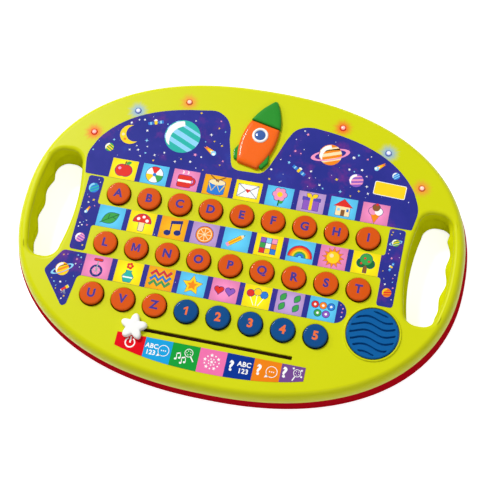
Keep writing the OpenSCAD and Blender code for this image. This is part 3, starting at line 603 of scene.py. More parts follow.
def night_sky():
    """Deep indigo print with violet clouds and small stars."""
    finish = Finish("print_night_sky", Specular_IOR_Level=PRINT_GLOSS, Roughness=0.4)
    place = finish.place()
    cloud = finish.noise(place, 34, 4.0, 0.6)
    glow = finish.noise(finish.vectors("ADD", place, (310.0, 95.0, 40.0)), 22, 4.0, 0.62)
    colour = finish.mix(finish.step(cloud, 0.35, 0.7), srgb("2a3089"), srgb("333492"))
    for light, low, high, share, code in ((glow, 0.53, 0.72, 0.75, "6c2f8c"),
                                          (glow, 0.64, 0.8, 0.5, "a33a80"),
                                          (cloud, 0.6, 0.78, 0.4, "2c55b4")):
        colour = finish.mix(finish.step(light, low, high) * share, colour, srgb(code))
    for size, reach, share in ((4.2, 0.085, 0.45), (9.0, 0.06, 0.5)):
        pick = finish.axis(finish.cells(place, 1 / size, "Color"), "X")
        spot = finish.step(finish.cells(place, 1 / size), reach * 0.5, reach)
        colour = finish.mix((1 - spot) * finish.step(pick, share, share + 0.3), colour, srgb("e9ecff"))
    return finish.set(Base_Color=colour)


def lamp_glow(name, code, core):
    """Tinted lens that is lit from inside: brightest at its top."""
    finish = Finish(name, Roughness=0.15, Emission_Strength=LAMP_LIGHT)
    place = finish.place()
    height = finish.step(finish.axis(place, "Z"), FACE_Z + 0.5, FACE_Z + 1.5)
    cloud = finish.noise(place, 1.2, 2.0)
    return finish.set(Base_Color=finish.mix(cloud * 0.3, srgb(code), shade(code, 0.7)),
                      Emission_Color=finish.mix(height, shade(code, 0.35), srgb(core)))


def lime_shell(name, gloss, dark, pale):
    """The lid's lime plastic, with each lamp's light painted into its colour as a glow round the lamp."""
    finish = Finish(name, Specular_IOR_Level=gloss)
    place = finish.place()
    slow = finish.noise(place, 70, 1.0)
    fine = finish.noise(place, 0.45, 2.0)
    wear = finish.step(finish.noise(place, 11, 4.0), 0.5, 0.75)
    colour = finish.mix(slow, srgb(dark), srgb(pale))
    colour = finish.mix(fine * 0.06, colour, srgb("a9ae05"))
    # painted light: a soft glow with rays round each lamp is painted into the lime's colour
    for x, y, _, painted_glow_tint in LAMPS:
        lamp = (x, y, FACE_Z)
        away = finish.vectors("DISTANCE", place, lamp, output="Value")
        way = finish.vectors("NORMALIZE", finish.vectors("SUBTRACT", place, lamp))
        rays = finish.step(finish.noise(way, 0.16, 1.0), 0.35, 0.7)
        painted_glow = (1 - finish.step(away, LAMP_R * 0.9, LAMP_R * PAINTED_GLOW_REACH)) ** (2.2 - rays * 1.4)
        colour = finish.mix(painted_glow * PAINTED_GLOW_STRENGTH, colour, srgb(painted_glow_tint))
    return finish.set(Base_Color=colour, Roughness=0.3 + wear * 0.06 + fine * 0.04,
                      Normal=finish.bump(finish.noise(place, 30, 1.0) + fine * 0.25, 0.05))


# ---------- case ----------


def lamp_places():
    """x, y, node and painted glow colour of each lamp; a node holds one lamp at each of its corners."""
    places = []
    for node, painted_glow_tint in (("leds_red", "f2622c"), ("leds_blue", "8fb6d8"), ("leds_orange", "f0923c")):
        low, high = corners_of(node)
        left, right = low.x + LAMP_R, high.x - LAMP_R
        back, front = high.y - LAMP_R, low.y + LAMP_R
        left_y, right_y = (back, front) if node == "leds_orange" else (front, back)
        places += [(left, left_y, node, painted_glow_tint), (right, right_y, node, painted_glow_tint)]
    return places


KEYS = {name: middle_of(f"key_{name}") for name in "".join(KEY_ROWS)}
LAMPS = lamp_places()


def slot_outline(grow):
    x0, x1 = SLOT_START + SLOT_CORNER, SLOT_END - SLOT_CORNER
    y0, y1 = SLIDER.y - SLOT_HALF_W + SLOT_CORNER, SLIDER.y + SLOT_HALF_W - SLOT_CORNER
    corners = ((x1, y1), (x0, y1), (x0, y0), (x1, y0))
    return [p for i, (x, y) in enumerate(corners)
            for p in arc(x, y, SLOT_CORNER + grow, 90 * i, 90 * i + 90, 4)]


def round_hole(x, y, r, steps):
    """Makes the outlines of a round form: each is wider than r by what it is given."""
    return lambda grow: disc(x, y, r + grow, steps=steps)


def lid_openings():
    """For each opening but the grips: outline maker, ramp up to it, rounding, its steps, lower stations."""
    through = [(0, UNDER_Z)]
    sleeve = [(0, SLEEVE_Z), (SLEEVE_WALL, SLEEVE_Z), (SLEEVE_WALL, UNDER_Z)]
    openings = [(round_hole(key.x, key.y, KEY_BORE, 64), [], BORE_EDGE, 4, sleeve) for key in KEYS.values()]
    openings += [(round_hole(x, y, LAMP_R + 0.1, 28), [], HOLE_EDGE, 3, through) for x, y, _, _ in LAMPS]
    openings.append((slot_outline, [], HOLE_EDGE, 3, through))
    ramp = [(grow, FACE_Z + BOSS_H * (0.5 - 0.5 * math.cos(a)))
            for grow, a in zip(spaced(BOSS_FOOT, BOSS_TOP, 8), spaced(0, math.pi, 8))]
    openings.append((round_hole(SPEAKER.x, SPEAKER.y, GRILLE_R + 0.5, 96), ramp, BORE_EDGE, 4, through))
    return openings


def lid(finish, wall_finish_painted_lighter):
    """The lime shell: rounded oval, bores with sleeves, and both grips down to the underside."""
    b = Build()
    height = FACE_Z - SPLIT_Z
    # inset and height of the sides: outside from the seam up, inside from the face down
    outer_side = [(SEAM_IN, SPLIT_Z)]
    outer_side += [(LID_ROUND * (1 - math.cos(a)), SPLIT_Z + height * math.sin(a))
                   for a in spaced(math.asin(SEAM / height), QUARTER, 16)]
    outer_side.append((LID_ROUND + SUPPORT, FACE_Z))
    inner_side = [(6.4, UNDER_Z), (4.4, UNDER_Z - 2), (2.9, UNDER_Z - 5), (WALL, SPLIT_Z)]
    outer, inner = b.skin(lid_outline, outer_side), b.skin(lid_outline, inner_side)
    b.strip(inner[-1], outer[0])
    tops, unders = [outer[-1]], [inner[0]]
    for maker, ramp, edge, steps, lower in lid_openings():
        start = ramp[0][0] if ramp else edge
        top = FACE_Z + BOSS_H if ramp else FACE_Z
        loops = b.skin(maker, [(start + SUPPORT, FACE_Z)] + ramp + rounded_edge(edge, top, steps) + lower)
        tops.append(loops[0])
        unders.append(loops[-1])
    # how far a grip's bar side and key side stand back from its opening, and at which height
    lip = [(GRIP_LIP + SUPPORT, GRIP_LIP_IN + SUPPORT, FACE_Z)]
    for a in spaced(0, QUARTER, 9):
        back_off = 1 - math.sin(a)
        lip.append((GRIP_LIP * back_off, GRIP_LIP_IN * back_off, FACE_Z - GRIP_LIP * (1 - math.cos(a))))
    wall = [(0, 0, z) for z in (28, 26.5, 25, 23.5, 22, 20.75, 20, SPLIT_Z,
                                18.8, 17, 14, 10, 7.5, 5, 2.9, 2.3)]
    foot = [(0.3, 0.3, 1.75), (0.8, 0.8, TRAY_Z), (1.4, 1.4, TRAY_Z), (1.9, 1.9, 1.75), (2.2, 2.2, 2.4)]
    back = [(GRIP_WALL, GRIP_WALL, z) for z in (10, 15, SPLIT_Z, 22, 25, 28, UNDER_Z)]
    for side in (1, -1):
        lips, walls = (b.skin(grip_outline, [(side, bar, key, z, z) for bar, key, z in stations], ink)
                       for ink, stations in enumerate((lip, wall + foot + back)))
        b.strip(lips[-1], walls[0], 1)
        tops.append(lips[0])
        unders.append(walls[-1])
    b.fill(tops, True)
    b.fill(unders, False)
    return b.piece("lid", [finish, wall_finish_painted_lighter])


def tray(finish):
    """The red shell: swelling sides, screw wells, feet pockets, the battery box and the grips' mouths."""
    b = Build()
    height, floor_z = SPLIT_Z - TRAY_Z, TRAY_Z + WALL
    pillar_r, foot_r, foot_depth, door_depth, door_gap = 4.9, 7.1, 1.0, 2.1, 0.3
    bay_half_w, bay_wall, bay_z, bay_top_z = 28.75, 2, 19.5, 20.9      # room for the cells, and its box

    def side(share):
        """Swell, inset and height of the outer side at a share of the tray's height."""
        turn = max(0, 1 - share / TRAY_TURN)
        swell = 1 - max(0, (share - TRAY_TURN) / (1 - TRAY_TURN)) ** 2
        return swell, TRAY_ROUND * (1 - math.sqrt(1 - turn ** 2)), TRAY_Z + share * height

    shares = [0, 0.004, 0.012, 0.03, 0.06, 0.1, 0.15, 0.2, 0.25, TRAY_TURN]
    shares += [TRAY_TURN + 0.068 * i for i in range(1, 11)]
    # swell, inset and height
    outer_side = [(1, 6.6, TRAY_Z)] + [side(share) for share in shares]
    outer_side += [(0, 0.1, SPLIT_Z - SEAM * 0.6), (0, 0.45, SPLIT_Z)]
    inner_side = [(0, WALL, SPLIT_Z), (0.6, WALL, 14), (1, WALL + 0.4, 8), (1, 5, 4.8), (1, 8, floor_z)]
    outer, inner = b.skin(tray_outline, outer_side), b.skin(tray_outline, inner_side)
    b.strip(outer[-1], inner[0])
    floors, bottoms = [inner[-1]], [outer[0]]

    def pocket(maker, depth):
        """A blind hole from below, and its mouth in the underside."""
        loops = b.skin(maker, [(0, TRAY_Z + depth), (0, TRAY_Z + 0.35), (0.3, TRAY_Z)])
        bottoms.append(loops[-1])
        return loops[0]

    for side_x in (1, -1):
        gap = GRIP_WALL + 0.3
        loops = b.skin(lambda grow, z: grip_outline(side_x, gap + grow, gap + grow, z),
                       [(0, z, z) for z in (floor_z, 3.0, 2.2)] + [(0.4, TRAY_Z, TRAY_Z)])
        floors.append(loops[0])
        bottoms.append(loops[-1])
        for x, y in SCREWS:
            b.close(pocket(round_hole(side_x * x, y, SCREW_WELL_R, 28), SCREW_WELL_Z - TRAY_Z), False)
            pillar = b.skin(round_hole(side_x * x, y, pillar_r, 28), [(0, floor_z), (0, SPLIT_Z - 0.1)])
            floors.append(pillar[0])
            b.close(pillar[-1], True)
        for x, y in FEET:
            b.close(pocket(round_hole(side_x * x, y, foot_r, 40), foot_depth), False)

    def bay(grow):
        return rect(-bay_half_w - grow, DOOR_LOW.y + 1.4 - grow, bay_half_w + grow,
                    DOOR_HIGH.y - 2 * DOOR_LUG_R + grow)

    seat = pocket(lambda grow: door_outline(door_gap + grow), door_depth)
    room = b.skin(bay, [(0, bay_z), (0, TRAY_Z + door_depth)])
    b.fill([seat, room[-1]], False)
    b.close(room[0], False)
    box = b.skin(bay, [(bay_wall, floor_z), (bay_wall, bay_top_z)])
    floors.append(box[0])
    b.close(box[-1], True)
    b.fill(floors, True)
    b.fill(bottoms, False)
    return b.piece("tray", [finish])


# ---------- keys, knob, grille, emblem ----------

# letters whose own glyph comes out heavy, drawn one unit high
DRAWN = {"1": [(-0.02, -0.5), (0.2, -0.5), (0.2, 0.5), (0.02, 0.5), (-0.28, 0.28), (-0.28, 0.08),
               (-0.02, 0.24)],
         "m": [(-0.5, -0.5), (-0.29, -0.5), (-0.29, 0.1), (-0.1, -0.42), (0.1, -0.42), (0.29, 0.1),
               (0.29, -0.5), (0.5, -0.5), (0.5, 0.5), (0.24, 0.5), (0, -0.14), (-0.24, 0.5), (-0.5, 0.5)]}


def key_cap(name, cap_finish, legend_finish):
    """A round cap with a soft edge, and its printed letter or number."""
    key, b = KEYS[name], Build()
    edge, crown = 1.2, 0.1
    r, flange_r = KEY_R - CAP_SHY, KEY_R + KEY_FLANGE
    wall_top = KEY_TOP - crown - edge
    over = [(r - edge * (1 - math.cos(a)), wall_top + edge * math.sin(a)) for a in spaced(0, QUARTER, 8)]
    tops = [((r - edge) * s, KEY_TOP - crown * s ** 2) for s in (0.97, 0.8, 0.6, 0.4, 0.2)]
    foot = [(r - 1.5, KEY_LOW), (flange_r - 0.3, KEY_LOW), (flange_r, KEY_LOW + 0.3),
            (flange_r, KEY_LOW + 1.1), (r, KEY_LOW + 1.2)]
    loops = b.skin(round_hole(key.x, key.y, 0, 64), foot + over + tops)
    b.close(loops[0], False)
    b.close(loops[-1], True)
    low, high = KEY_TOP - 0.3, KEY_TOP + 0.03
    if name in DRAWN:
        b.prism(moved(DRAWN[name], key.x, key.y, 0, LEGEND), low, high, 1)
    else:
        b.text(name.upper(), key.x, key.y, LEGEND, low, high, 1, LEGEND_BOLD)
    return b.piece(f"cap_{name}", [cap_finish, legend_finish])


def star_knob(finish):
    """The slider's star, a soft cushion on the stem that goes through the slot."""
    b = Build()
    low, high = corners_of("slider_knob")
    base, top = FACE_Z + 0.3, high.z
    points = []
    for i in range(120):
        t = math.tau * i / 120
        r = STAR_R * (0.6 + 0.4 * ((1 + math.cos(5 * (t - math.pi / 2))) / 2) ** 0.85)
        points.append((SLIDER.x + r * math.cos(t), SLIDER.y + r * math.sin(t)))
    b.dome(points, (SLIDER.x, SLIDER.y),
           [(0.96, base), (0.99, base + 0.3), (1.0, base + 0.8), (1.0, top - 1.9), (0.985, top - 1.3),
            (0.95, top - 0.75), (0.9, top - 0.36), (0.82, top - 0.12), (0.7, top), (0.3, top)])
    b.prism(rect(SLIDER.x - 2, SLIDER.y - 1.2, SLIDER.x + 2, SLIDER.y + 1.2), low.z, base + 0.5)
    return b.piece("star_knob", [finish])


GRILLE = {"Radius": GRILLE_R - 0.2, "Groove pitch": 5.5, "Groove width": 1.35, "Groove depth": 1.7,
          "Wave height": 1.7, "Wave length": 27.5, "Wave start": 1.5, "Rim": 2.2, "Rim round": 0.9,
          "Top": GRILLE_TOP, "Height": 5.0}
GRILLE_CORNERS = 181               # along each side of the grid that becomes the disc


def wavy_grille(finish):
    """The loudspeaker's grille: a disc whose top is cut by wavy grooves."""
    tree = bpy.data.node_groups.new("wavy_grille", "GeometryNodeTree")
    tree.is_modifier = True
    for name in GRILLE:
        tree.interface.new_socket(name, in_out="INPUT", socket_type="NodeSocketFloat")
    tree.interface.new_socket("Finish", in_out="INPUT", socket_type="NodeSocketMaterial")
    tree.interface.new_socket("Geometry", in_out="OUTPUT", socket_type="NodeSocketGeometry")
    nodes, given = Nodes(tree), tree.nodes.new("NodeGroupInput")
    radius, pitch, width, groove, wave_h, wave_l, start, rim, rim_round, top, height, finish_in = (
        Value(nodes, socket) for socket in list(given.outputs)[:len(GRILLE) + 1])
    grid = nodes.node("GeometryNodeMeshGrid", None, {
        "Size X": radius * 2, "Size Y": radius * 2,
        "Vertices X": GRILLE_CORNERS, "Vertices Y": GRILLE_CORNERS})
    place = nodes.node("GeometryNodeInputPosition")
    x, y = nodes.axis(place, "X"), nodes.axis(place, "Y")
    # the square grid is pressed into a disc, so that its rim is round
    across, along = x / radius, y / radius
    x, y = x * (1 - along * along / 2) ** 0.5, y * (1 - across * across / 2) ** 0.5
    from_middle = (x * x + y * y) ** 0.5
    over_wave = y + nodes.maths("SINE", (x - start) / wave_l * math.tau) * wave_h
    nearest = nodes.maths("ROUND", over_wave / pitch) * pitch
    off = nodes.maths("ABSOLUTE", over_wave - nearest)
    cut = 1 - nodes.step(off, width * 0.32, width * 0.62)
    kept = 1 - nodes.step(from_middle, radius - rim - 0.5 * MM, radius - rim)
    rows = nodes.maths("COMPARE", nearest, 0.0, pitch * 3.2)
    z = top - cut * kept * (rows * groove) - nodes.step(from_middle, radius - rim_round, radius) * (0.7 * MM)
    shaped = nodes.node("GeometryNodeSetPosition", None, {
        "Geometry": grid, "Position": nodes.node("ShaderNodeCombineXYZ", None, {"X": x, "Y": y, "Z": z})})
    faces = nodes.node("GeometryNodeInputMeshEdgeNeighbors")
    border = nodes.node("FunctionNodeCompare", {"data_type": "INT", "operation": "EQUAL"}, {2: faces, 3: 1})
    down = nodes.node("ShaderNodeCombineXYZ", None, {"Z": 0 - height})
    walled = nodes.node("GeometryNodeExtrudeMesh", {"mode": "EDGES"},
                        {"Mesh": shaped, "Selection": border, "Offset": down, "Offset Scale": 1.0})
    spot = nodes.node("ShaderNodeCombineXYZ", None, {"X": SPEAKER.x * MM, "Y": SPEAKER.y * MM})
    placed = nodes.node("GeometryNodeSetPosition", None, {"Geometry": walled, "Offset": spot})
    real = nodes.node("GeometryNodeRealizeInstances", None, {0: placed})
    coated = nodes.node("GeometryNodeSetMaterial", None, {"Geometry": real, "Material": finish_in})
    nodes.feed(coated, tree.nodes.new("NodeGroupOutput").inputs[0])
    return from_tree("grille", tree, {**{name: size * MM for name, size in GRILLE.items()}, "Finish": finish})


def from_tree(name, tree, values):
    """Runs a Geometry Nodes tree and keeps its result as a plain mesh, closed below."""
    carrier = in_scene("carrier", bpy.data.meshes.new("carrier"))
    modifier = carrier.modifiers.new("nodes", "NODES")
    modifier.node_group = tree
    for item in tree.interface.items_tree:
        if item.in_out == "INPUT":
            modifier[item.identifier] = values[item.name]
    mesh = plain_mesh(carrier, 1e-6, True)
    mesh.name = name
    mesh.shade_smooth()
    mesh.set_sharp_from_angle(angle=math.radians(45))
    return in_scene(name, mesh)


def lens(half_l, half_w, y0, y1, steps=20):
    """The part between two heights of the lens that two arcs enclose."""
    r = (half_l ** 2 + half_w ** 2) / (2 * half_w)
    side = [(math.sqrt(r ** 2 - y ** 2) - (r - half_w), y) for y in spaced(y0, y1, steps)]
    return side + [(-x, y) for x, y in reversed(side) if x > 0.05]


def emblem(body_finish, trim_finish, white_finish, glass_finish):
    """The raised rocket at the back of the face: body, nose and fins, and a round window."""
    top = corners_of("emblem_hull")[1].z

    def puff(b, outline, centre, share):
        h = (top - FACE_Z) * share
        b.dome(soft(outline, 1.6), centre,
               [(1, FACE_Z)] + [(size, FACE_Z + h * rise) for size, rise in
                                ((1, 0.45), (0.99, 0.62), (0.965, 0.78), (0.92, 0.9), (0.85, 0.97),
                                 (0.74, 1), (0.4, 1))])

    body, trim, window = Build(), Build(), Build()
    puff(body, lens(ROCKET_HALF, ROCKET_W / 2, ROCKET_TAIL, ROCKET_NOSE - 0.2), (0, -4), 1)
    puff(trim, lens(ROCKET_HALF + 0.6, ROCKET_W / 2 + 0.4, ROCKET_NOSE + 0.2, ROCKET_HALF - 0.6),
         (0, ROCKET_NOSE + 8), 0.92)
    fin = [(11, -14), (8.2, -21.5), (12, -23), (15, -16), (11.6, -4)]
    puff(trim, fin, (12.6, -16), 0.7)
    puff(trim, mirrored(fin), (-12.6, -16), 0.7)
    r, glass_r = PORTHOLE_R, PORTHOLE_R - 2.2
    rim = [(r - 1.1 + 1.1 * math.cos(a), top + math.sin(a)) for a in spaced(0, math.pi, 8)]
    glass = [(s * glass_r, top + 0.7 * math.sqrt(1 - s ** 2)) for s in (1, 0.9, 0.7, 0.45, 0.2)]
    ring = round_hole(0, ROCKET_WINDOW, 0, 40)
    outer, inner = window.skin(ring, [(r, top - 1)] + rim), window.skin(ring, glass, 1)
    window.close(outer[0], False)
    window.strip(outer[-1], inner[0])
    window.close(inner[-1], True, 1)
    for b in (body, trim, window):
        b.turn(*ROCKET_AT, ROCKET_TURN)
    return (body.piece("emblem_body", [body_finish], 50), trim.piece("emblem_trim", [trim_finish], 50),
            window.piece("emblem_window", [white_finish, glass_finish], 50))


# ---------- prints ----------

INKS = {
    "red": "e0342c", "orange": "f58a1f", "yellow": "f9d423", "green": "3fa34d", "forest": "1f6b3a",
    "blue": "2f7ed8", "sky": "8fd3f4", "navy": "22307a", "purple": "8e5bc0", "pink": "f49ac1",
    "brown": "8a5a32", "white": "fbfbf7", "cream": "fce3b0", "black": "2a2622", "teal": "2fb5a8",
    "grey": "9aa3ad", "violet": "5a4bb5",
}
PAPERS = {"paper_yellow": "fce51a", "paper_blue": "5cc3ee", "paper_pink": "e887b8",
          "paper_orange": "f7ab1c", "paper_lilac": "b998cc"}
MODE_PAPERS = {"mode_red": "e00519", "mode_blue": "18a0dc", "mode_green": "159c38", "mode_pink": "ee72ac",
               "mode_navy": "073391", "mode_orange": "ee8216", "mode_purple": "744a90"}
TILE_PAPERS = dict(zip("abcdefghilmnopqrstuvz12345", (
    "yellow blue pink orange yellow blue lilac blue pink "
    "blue yellow orange lilac blue yellow blue pink yellow "
    "pink yellow orange blue pink yellow lilac blue").split()))
PICTURE_SCALE, LINE_WIDTH, LINE_LEAST = 1.1, 0.36, 9   # a form over 9 square mm has a dark line round it
INK_START, INK_STEP, INK_LAYERS, INK_ROOT = 0.012, 0.004, 32, 0.05


class Print(Build):
    """A label: a sheet with inks printed on it, each a hair above the one before."""

    def __init__(self, finishes):
        super().__init__()
        self.names = list(finishes)
        self.finishes = list(finishes.values())
        self.layer = 0

    def heights(self):
        """Lowest and highest z of the next ink."""
        self.layer += 1
        return SHEET_Z - INK_ROOT, SHEET_Z + INK_START + INK_STEP * (self.layer % INK_LAYERS)

    def ink(self, name, outline):
        self.prism(outline, *self.heights(), self.names.index(name))

    def words(self, name, words, x, y, size, bold):
        self.text(words, x, y, size, *self.heights(), self.names.index(name), bold)

    def sheet(self, name, outline):
        self.prism(outline, FACE_Z, SHEET_Z, self.names.index(name))

    def picture(self, shapes, x, y, turn=0.0, scale=1.0, layer=0):
        """Prints a list of (ink, outline) round a place, from a layer upwards."""
        self.layer = layer
        for name, outline in shapes:
            self.ink(name, moved(outline, x, y, turn, scale))

    def finish(self, name):
        return self.piece(name, self.finishes)


def leaf(length, width, x, y, turn):
    side = [(length * i / 8, width * math.sin(math.pi * i / 8)) for i in range(9)]
    return moved(side[::-1] + [(px, -py) for px, py in side[1:-1]], x, y, turn)


def petals(ink, x, y, r, count, size):
    return [(ink, disc(x + r * math.cos(math.tau * i / count), y + r * math.sin(math.tau * i / count),
                       size, steps=16)) for i in range(count)]


def heart(x, y, size):
    """A heart, size being half its width."""
    points = []
    for i in range(32):
        t = math.tau * i / 32
        rise = 13 * math.cos(t) - 5 * math.cos(2 * t) - 2 * math.cos(3 * t) - math.cos(4 * t)
        points.append((x + size * math.sin(t) ** 3, y + size * rise / 16))
    return points[::-1]


def zigzag(ink, y):
    """A line with three tops, whose first foot is at a height."""
    return ink, stroke([(-7, y), (-4.2, y + 3), (-1.4, y), (1.4, y + 3), (4.2, y), (7, y + 3)], 1.6)


def dots(ink, r, *places):
    return [(ink, disc(x, y, r)) for x, y in places]


def lines(ink, width, *paths):
    return [(ink, stroke(path, width)) for path in paths]


def icons():
    """A simple picture for each tile, drawn in millimetres round its middle."""
    petal_places = (-5.6, 2.6), (0, 2.6), (5.6, 2.6), (-2.9, -3.2), (2.9, -3.2)
    pencil = [("yellow", rect(-6, -1.5, 4, 1.5)), ("orange", rect(-6, -0.5, 4, 0.5)),
              ("cream", [(4, -1.5), (7.2, 0), (4, 1.5)]), ("black", [(6, -0.56), (7.2, 0), (6, 0.56)]),
              ("pink", rect(-8, -1.5, -6, 1.5))]
    squares = "red yellow blue green white orange purple sky pink".split()
    return {
        "a": [*dots("red", 4.6, (-1.6, -0.8), (1.6, -0.8)), ("pink", disc(-3.2, 0.6, 1.2)),
              ("brown", stroke([(0, 3), (0.6, 6.6)], 1)), ("green", leaf(4.6, 1.3, 0.5, 4.6, 22))],
        "b": [("white", disc(0, 0, 6.2)), ("red", [(0, 0)] + arc(0, 0, 6.2, 60, 120)),
              ("yellow", [(0, 0)] + arc(0, 0, 6.2, 180, 240)), ("green", [(0, 0)] + arc(0, 0, 6.2, 300, 360)),
              ("blue", disc(0, 0, 1.3))],
        "c": [("red", arch(4.2, -0.6, 3.2, 1.2, -90, 90)), ("red", soft(rect(-5.6, -5.6, 4.4, 3.6), 1.5)),
              ("white", rect(-5.6, -1.8, 4.4, 0)),
              *lines("white", 0.8, [(-3, 4.8), (-2.2, 6), (-3, 7.2)], [(0.6, 4.8), (1.4, 6), (0.6, 7.2)])],
        "d": [("blue", rect(-6, -5.2, 6, 2.6)), ("blue", disc(0, -5.2, 6, 0.3)),
              ("cream", disc(0, 2.6, 6, 0.36)),
              *lines("yellow", 0.8, [(-6, 1.4), (-3, -4.4), (0, 0.9), (3, -4.4), (6, 1.4)]),
              *lines("brown", 0.9, [(-1, 3.4), (5.6, 7.4)], [(1, 3), (-5.6, 7.4)])],
        "e": [("white", rect(-7.2, -4.8, 7.2, 4.8)),
              *lines("grey", 0.8, [(-7.2, 4.8), (0, -0.6), (7.2, 4.8)]),
              *lines("grey", 0.6, [(-7.2, -4.8), (-1.4, 0.4)], [(1.4, 0.4), (7.2, -4.8)]),
              ("red", heart(0, 0.2, 1.7))],
        "f": [("forest", stroke([(0, -7), (0, 0)], 1)), ("green", leaf(4, 1.2, 0, -5, 30)),
              *petals("pink", 0, 1.8, 3.2, 6, 2.1), ("yellow", disc(0, 1.8, 2.0))],
        "g": [("purple", rect(-5.6, -6, 5.6, 1.6)), ("violet", rect(-6.4, 1.2, 6.4, 3.6)),
              ("yellow", rect(-1.1, -6, 1.1, 3.6)), ("yellow", leaf(5, 1.6, 0, 3.6, 35)),
              ("yellow", leaf(5, 1.6, 0, 3.6, 145))],
        "h": [("cream", rect(-5, -6, 5, 1.4)), ("red", [(-6.8, 1), (6.8, 1), (0, 6.8)]),
              ("brown", rect(-1.2, -6, 1.6, -1.4)), ("sky", rect(-4, -2.6, -2, -0.4)),
              ("blue", rect(2.6, -2.6, 4.2, -0.4))],
        "i": [("orange", [(0, -7.4), (3.6, 0), (-3.6, 0)]), ("pink", disc(-2, 1.8, 2.9)),
              ("white", disc(2.2, 1.8, 2.8)), ("brown", disc(0, 4.6, 2.7)), ("red", disc(0.4, 7, 1.0))],
        "l": [("green", leaf(14, 4, -6, -4.6, 33)), *lines("forest", 0.6, [(-7, -5.4), (5, 2.6)]),
              *lines("forest", 0.5, [(-1.6, -1.8), (-1, 2)], [(1.4, 0.2), (4, -1)])],
        "m": [("cream", soft(rect(-1.9, -6.4, 1.9, 1), 1)), ("red", arc(0, 0, 6.6, 0, 180, 14)),
              ("white", disc(-3, 2.6, 1.2)), ("white", disc(0.6, 4.4, 1.1)), ("white", disc(3.4, 1.8, 1.2))],
        "n": [("navy", disc(-3.6, -4, 2.2, 0.8)), ("navy", disc(3.6, -3, 2.2, 0.8)),
              ("navy", rect(-2.2, -4, -1.3, 5)), ("navy", rect(4.9, -3, 5.8, 6)),
              ("navy", [(-2.2, 3.2), (5.8, 4.4), (5.8, 6.4), (-2.2, 5.2)])],
        "o": [("orange", disc(0, -0.4, 6.2)), ("cream", disc(0, -0.4, 5.2)), ("orange", disc(0, -0.4, 4.6)),
              *(("cream", moved(rect(0, -0.25, 4.6, 0.25), 0, -0.4, 45 * i)) for i in range(8))],
        "p": [(ink, moved(outline, 0, 0, 38)) for ink, outline in pencil],
        "q": [(ink, rect(4 * (i % 3) - 6, 4 * (i // 3) - 6, 4 * (i % 3) - 2.4, 4 * (i // 3) - 2.4))
              for i, ink in enumerate(squares)],
        "r": [(ink, arch(0, -4.4, 8.6 - 1.4 * i, 1.45))
              for i, ink in enumerate(["red", "orange", "yellow", "green", "blue"])],
        "s": [("orange", star(0, 0, 7.6, 0.62, 12)), ("yellow", disc(0, 0, 4.4)),
              ("cream", disc(-1.2, 1.2, 1.4))],
        "t": [("brown", rect(-1.2, -7, 1.2, -1)), *dots("forest", 3.2, (-3, 0), (3, 0)),
              ("green", disc(0, 3, 4.2)), *dots("red", 0.8, (-1, 3.6), (2, 1.6), (-3.2, -0.4))],
        "u": [("navy", arch(0, -3, 4.2, 0.9, 0, 180)), ("navy", arch(0, -3, 4.2, 0.9, 180, 360)),
              ("grey", stroke([(0, -3), (0, 4.6)], 0.9)), ("red", soft(rect(-3, 4.4, 3, 6), 0.8)),
              *(("grey", moved(rect(0, -0.2, 3.6, 0.2), 0, -3, 60 * i)) for i in range(6))],
        "v": [("teal", [(-2.4, -7), (2.4, -7), (4, -3), (1.6, 0.6), (2.2, 1.6), (-2.2, 1.6), (-1.6, 0.6),
                        (-4, -3)]), ("white", rect(-3.6, -4, 3.6, -3)),
              *petals("red", 0, 5, 1.5, 5, 1.1), ("yellow", disc(0, 5, 0.9))],
        "z": [zigzag("red", 2.4), zigzag("blue", -1.4), zigzag("green", -5.2)],
        "1": [("yellow", star(0, -0.4, 7.4, 0.5)), ("orange", star(0, -0.4, 4, 0.5))],
        "2": [("red", heart(-3.9, 0, 3.3)), ("purple", heart(3.9, 0, 3.3))],
        "3": [("red", disc(-4.8, 2, 2.5)), ("yellow", disc(0, 3.4, 2.5)), ("blue", disc(4.8, 2, 2.5)),
              *lines("white", 0.4, *([(x, y), (x * 0.3, -6.6)] for x, y in ((-4.8, -0.4), (0, 1),
                                                                           (4.8, -0.4))))],
        "4": [("green", leaf(6.4, 1.9, x, y, 62)) for y in (-6, 0.8) for x in (-6.6, 3.2)],
        "5": [*((ink, disc(x, y, 2.4)) for ink, (x, y) in
                zip(["red", "orange", "blue", "green", "purple"], petal_places)),
              *dots("white", 0.9, *petal_places)],
    }


def twice_area(points):
    """Positive for an anticlockwise outline."""
    return sum(a[0] * b[1] - b[0] * a[1] for a, b in zip(points, points[1:] + points[:1]))


def swollen(points, by):
    """An outline grown outwards by a small amount."""
    by = math.copysign(by, twice_area(points))
    out = []
    for before, here, after in zip(points[-1:] + points, points, points[1:] + points[:1]):
        ways = [Vector((b[1] - a[1], a[0] - b[0])).normalized() for a, b in ((before, here), (here, after))]
        way = (ways[0] + ways[1]).normalized() * by
        out.append((here[0] + way.x, here[1] + way.y))
    return out


def outlined(shapes):
    """A picture with a thin dark line round its main forms."""
    return [("navy", swollen(points, LINE_WIDTH)) for _, points in shapes
            if abs(twice_area(points)) / 2 > LINE_LEAST] + shapes


def tiles(label, row, shapes):
    """One row of square papers, each with the picture for its key."""
    low, high = TILE_ROWS[row]
    for col, name in enumerate(KEY_ROWS[row]):
        x = (col - 4) * TILE_PITCH
        label.layer = 0
        label.ink("paper_" + TILE_PAPERS[name], rect(x - TILE_W / 2, low, x + TILE_W / 2, high))
        label.picture(outlined(shapes[name]), x, (low + high) / 2, 0, PICTURE_SCALE, 1)


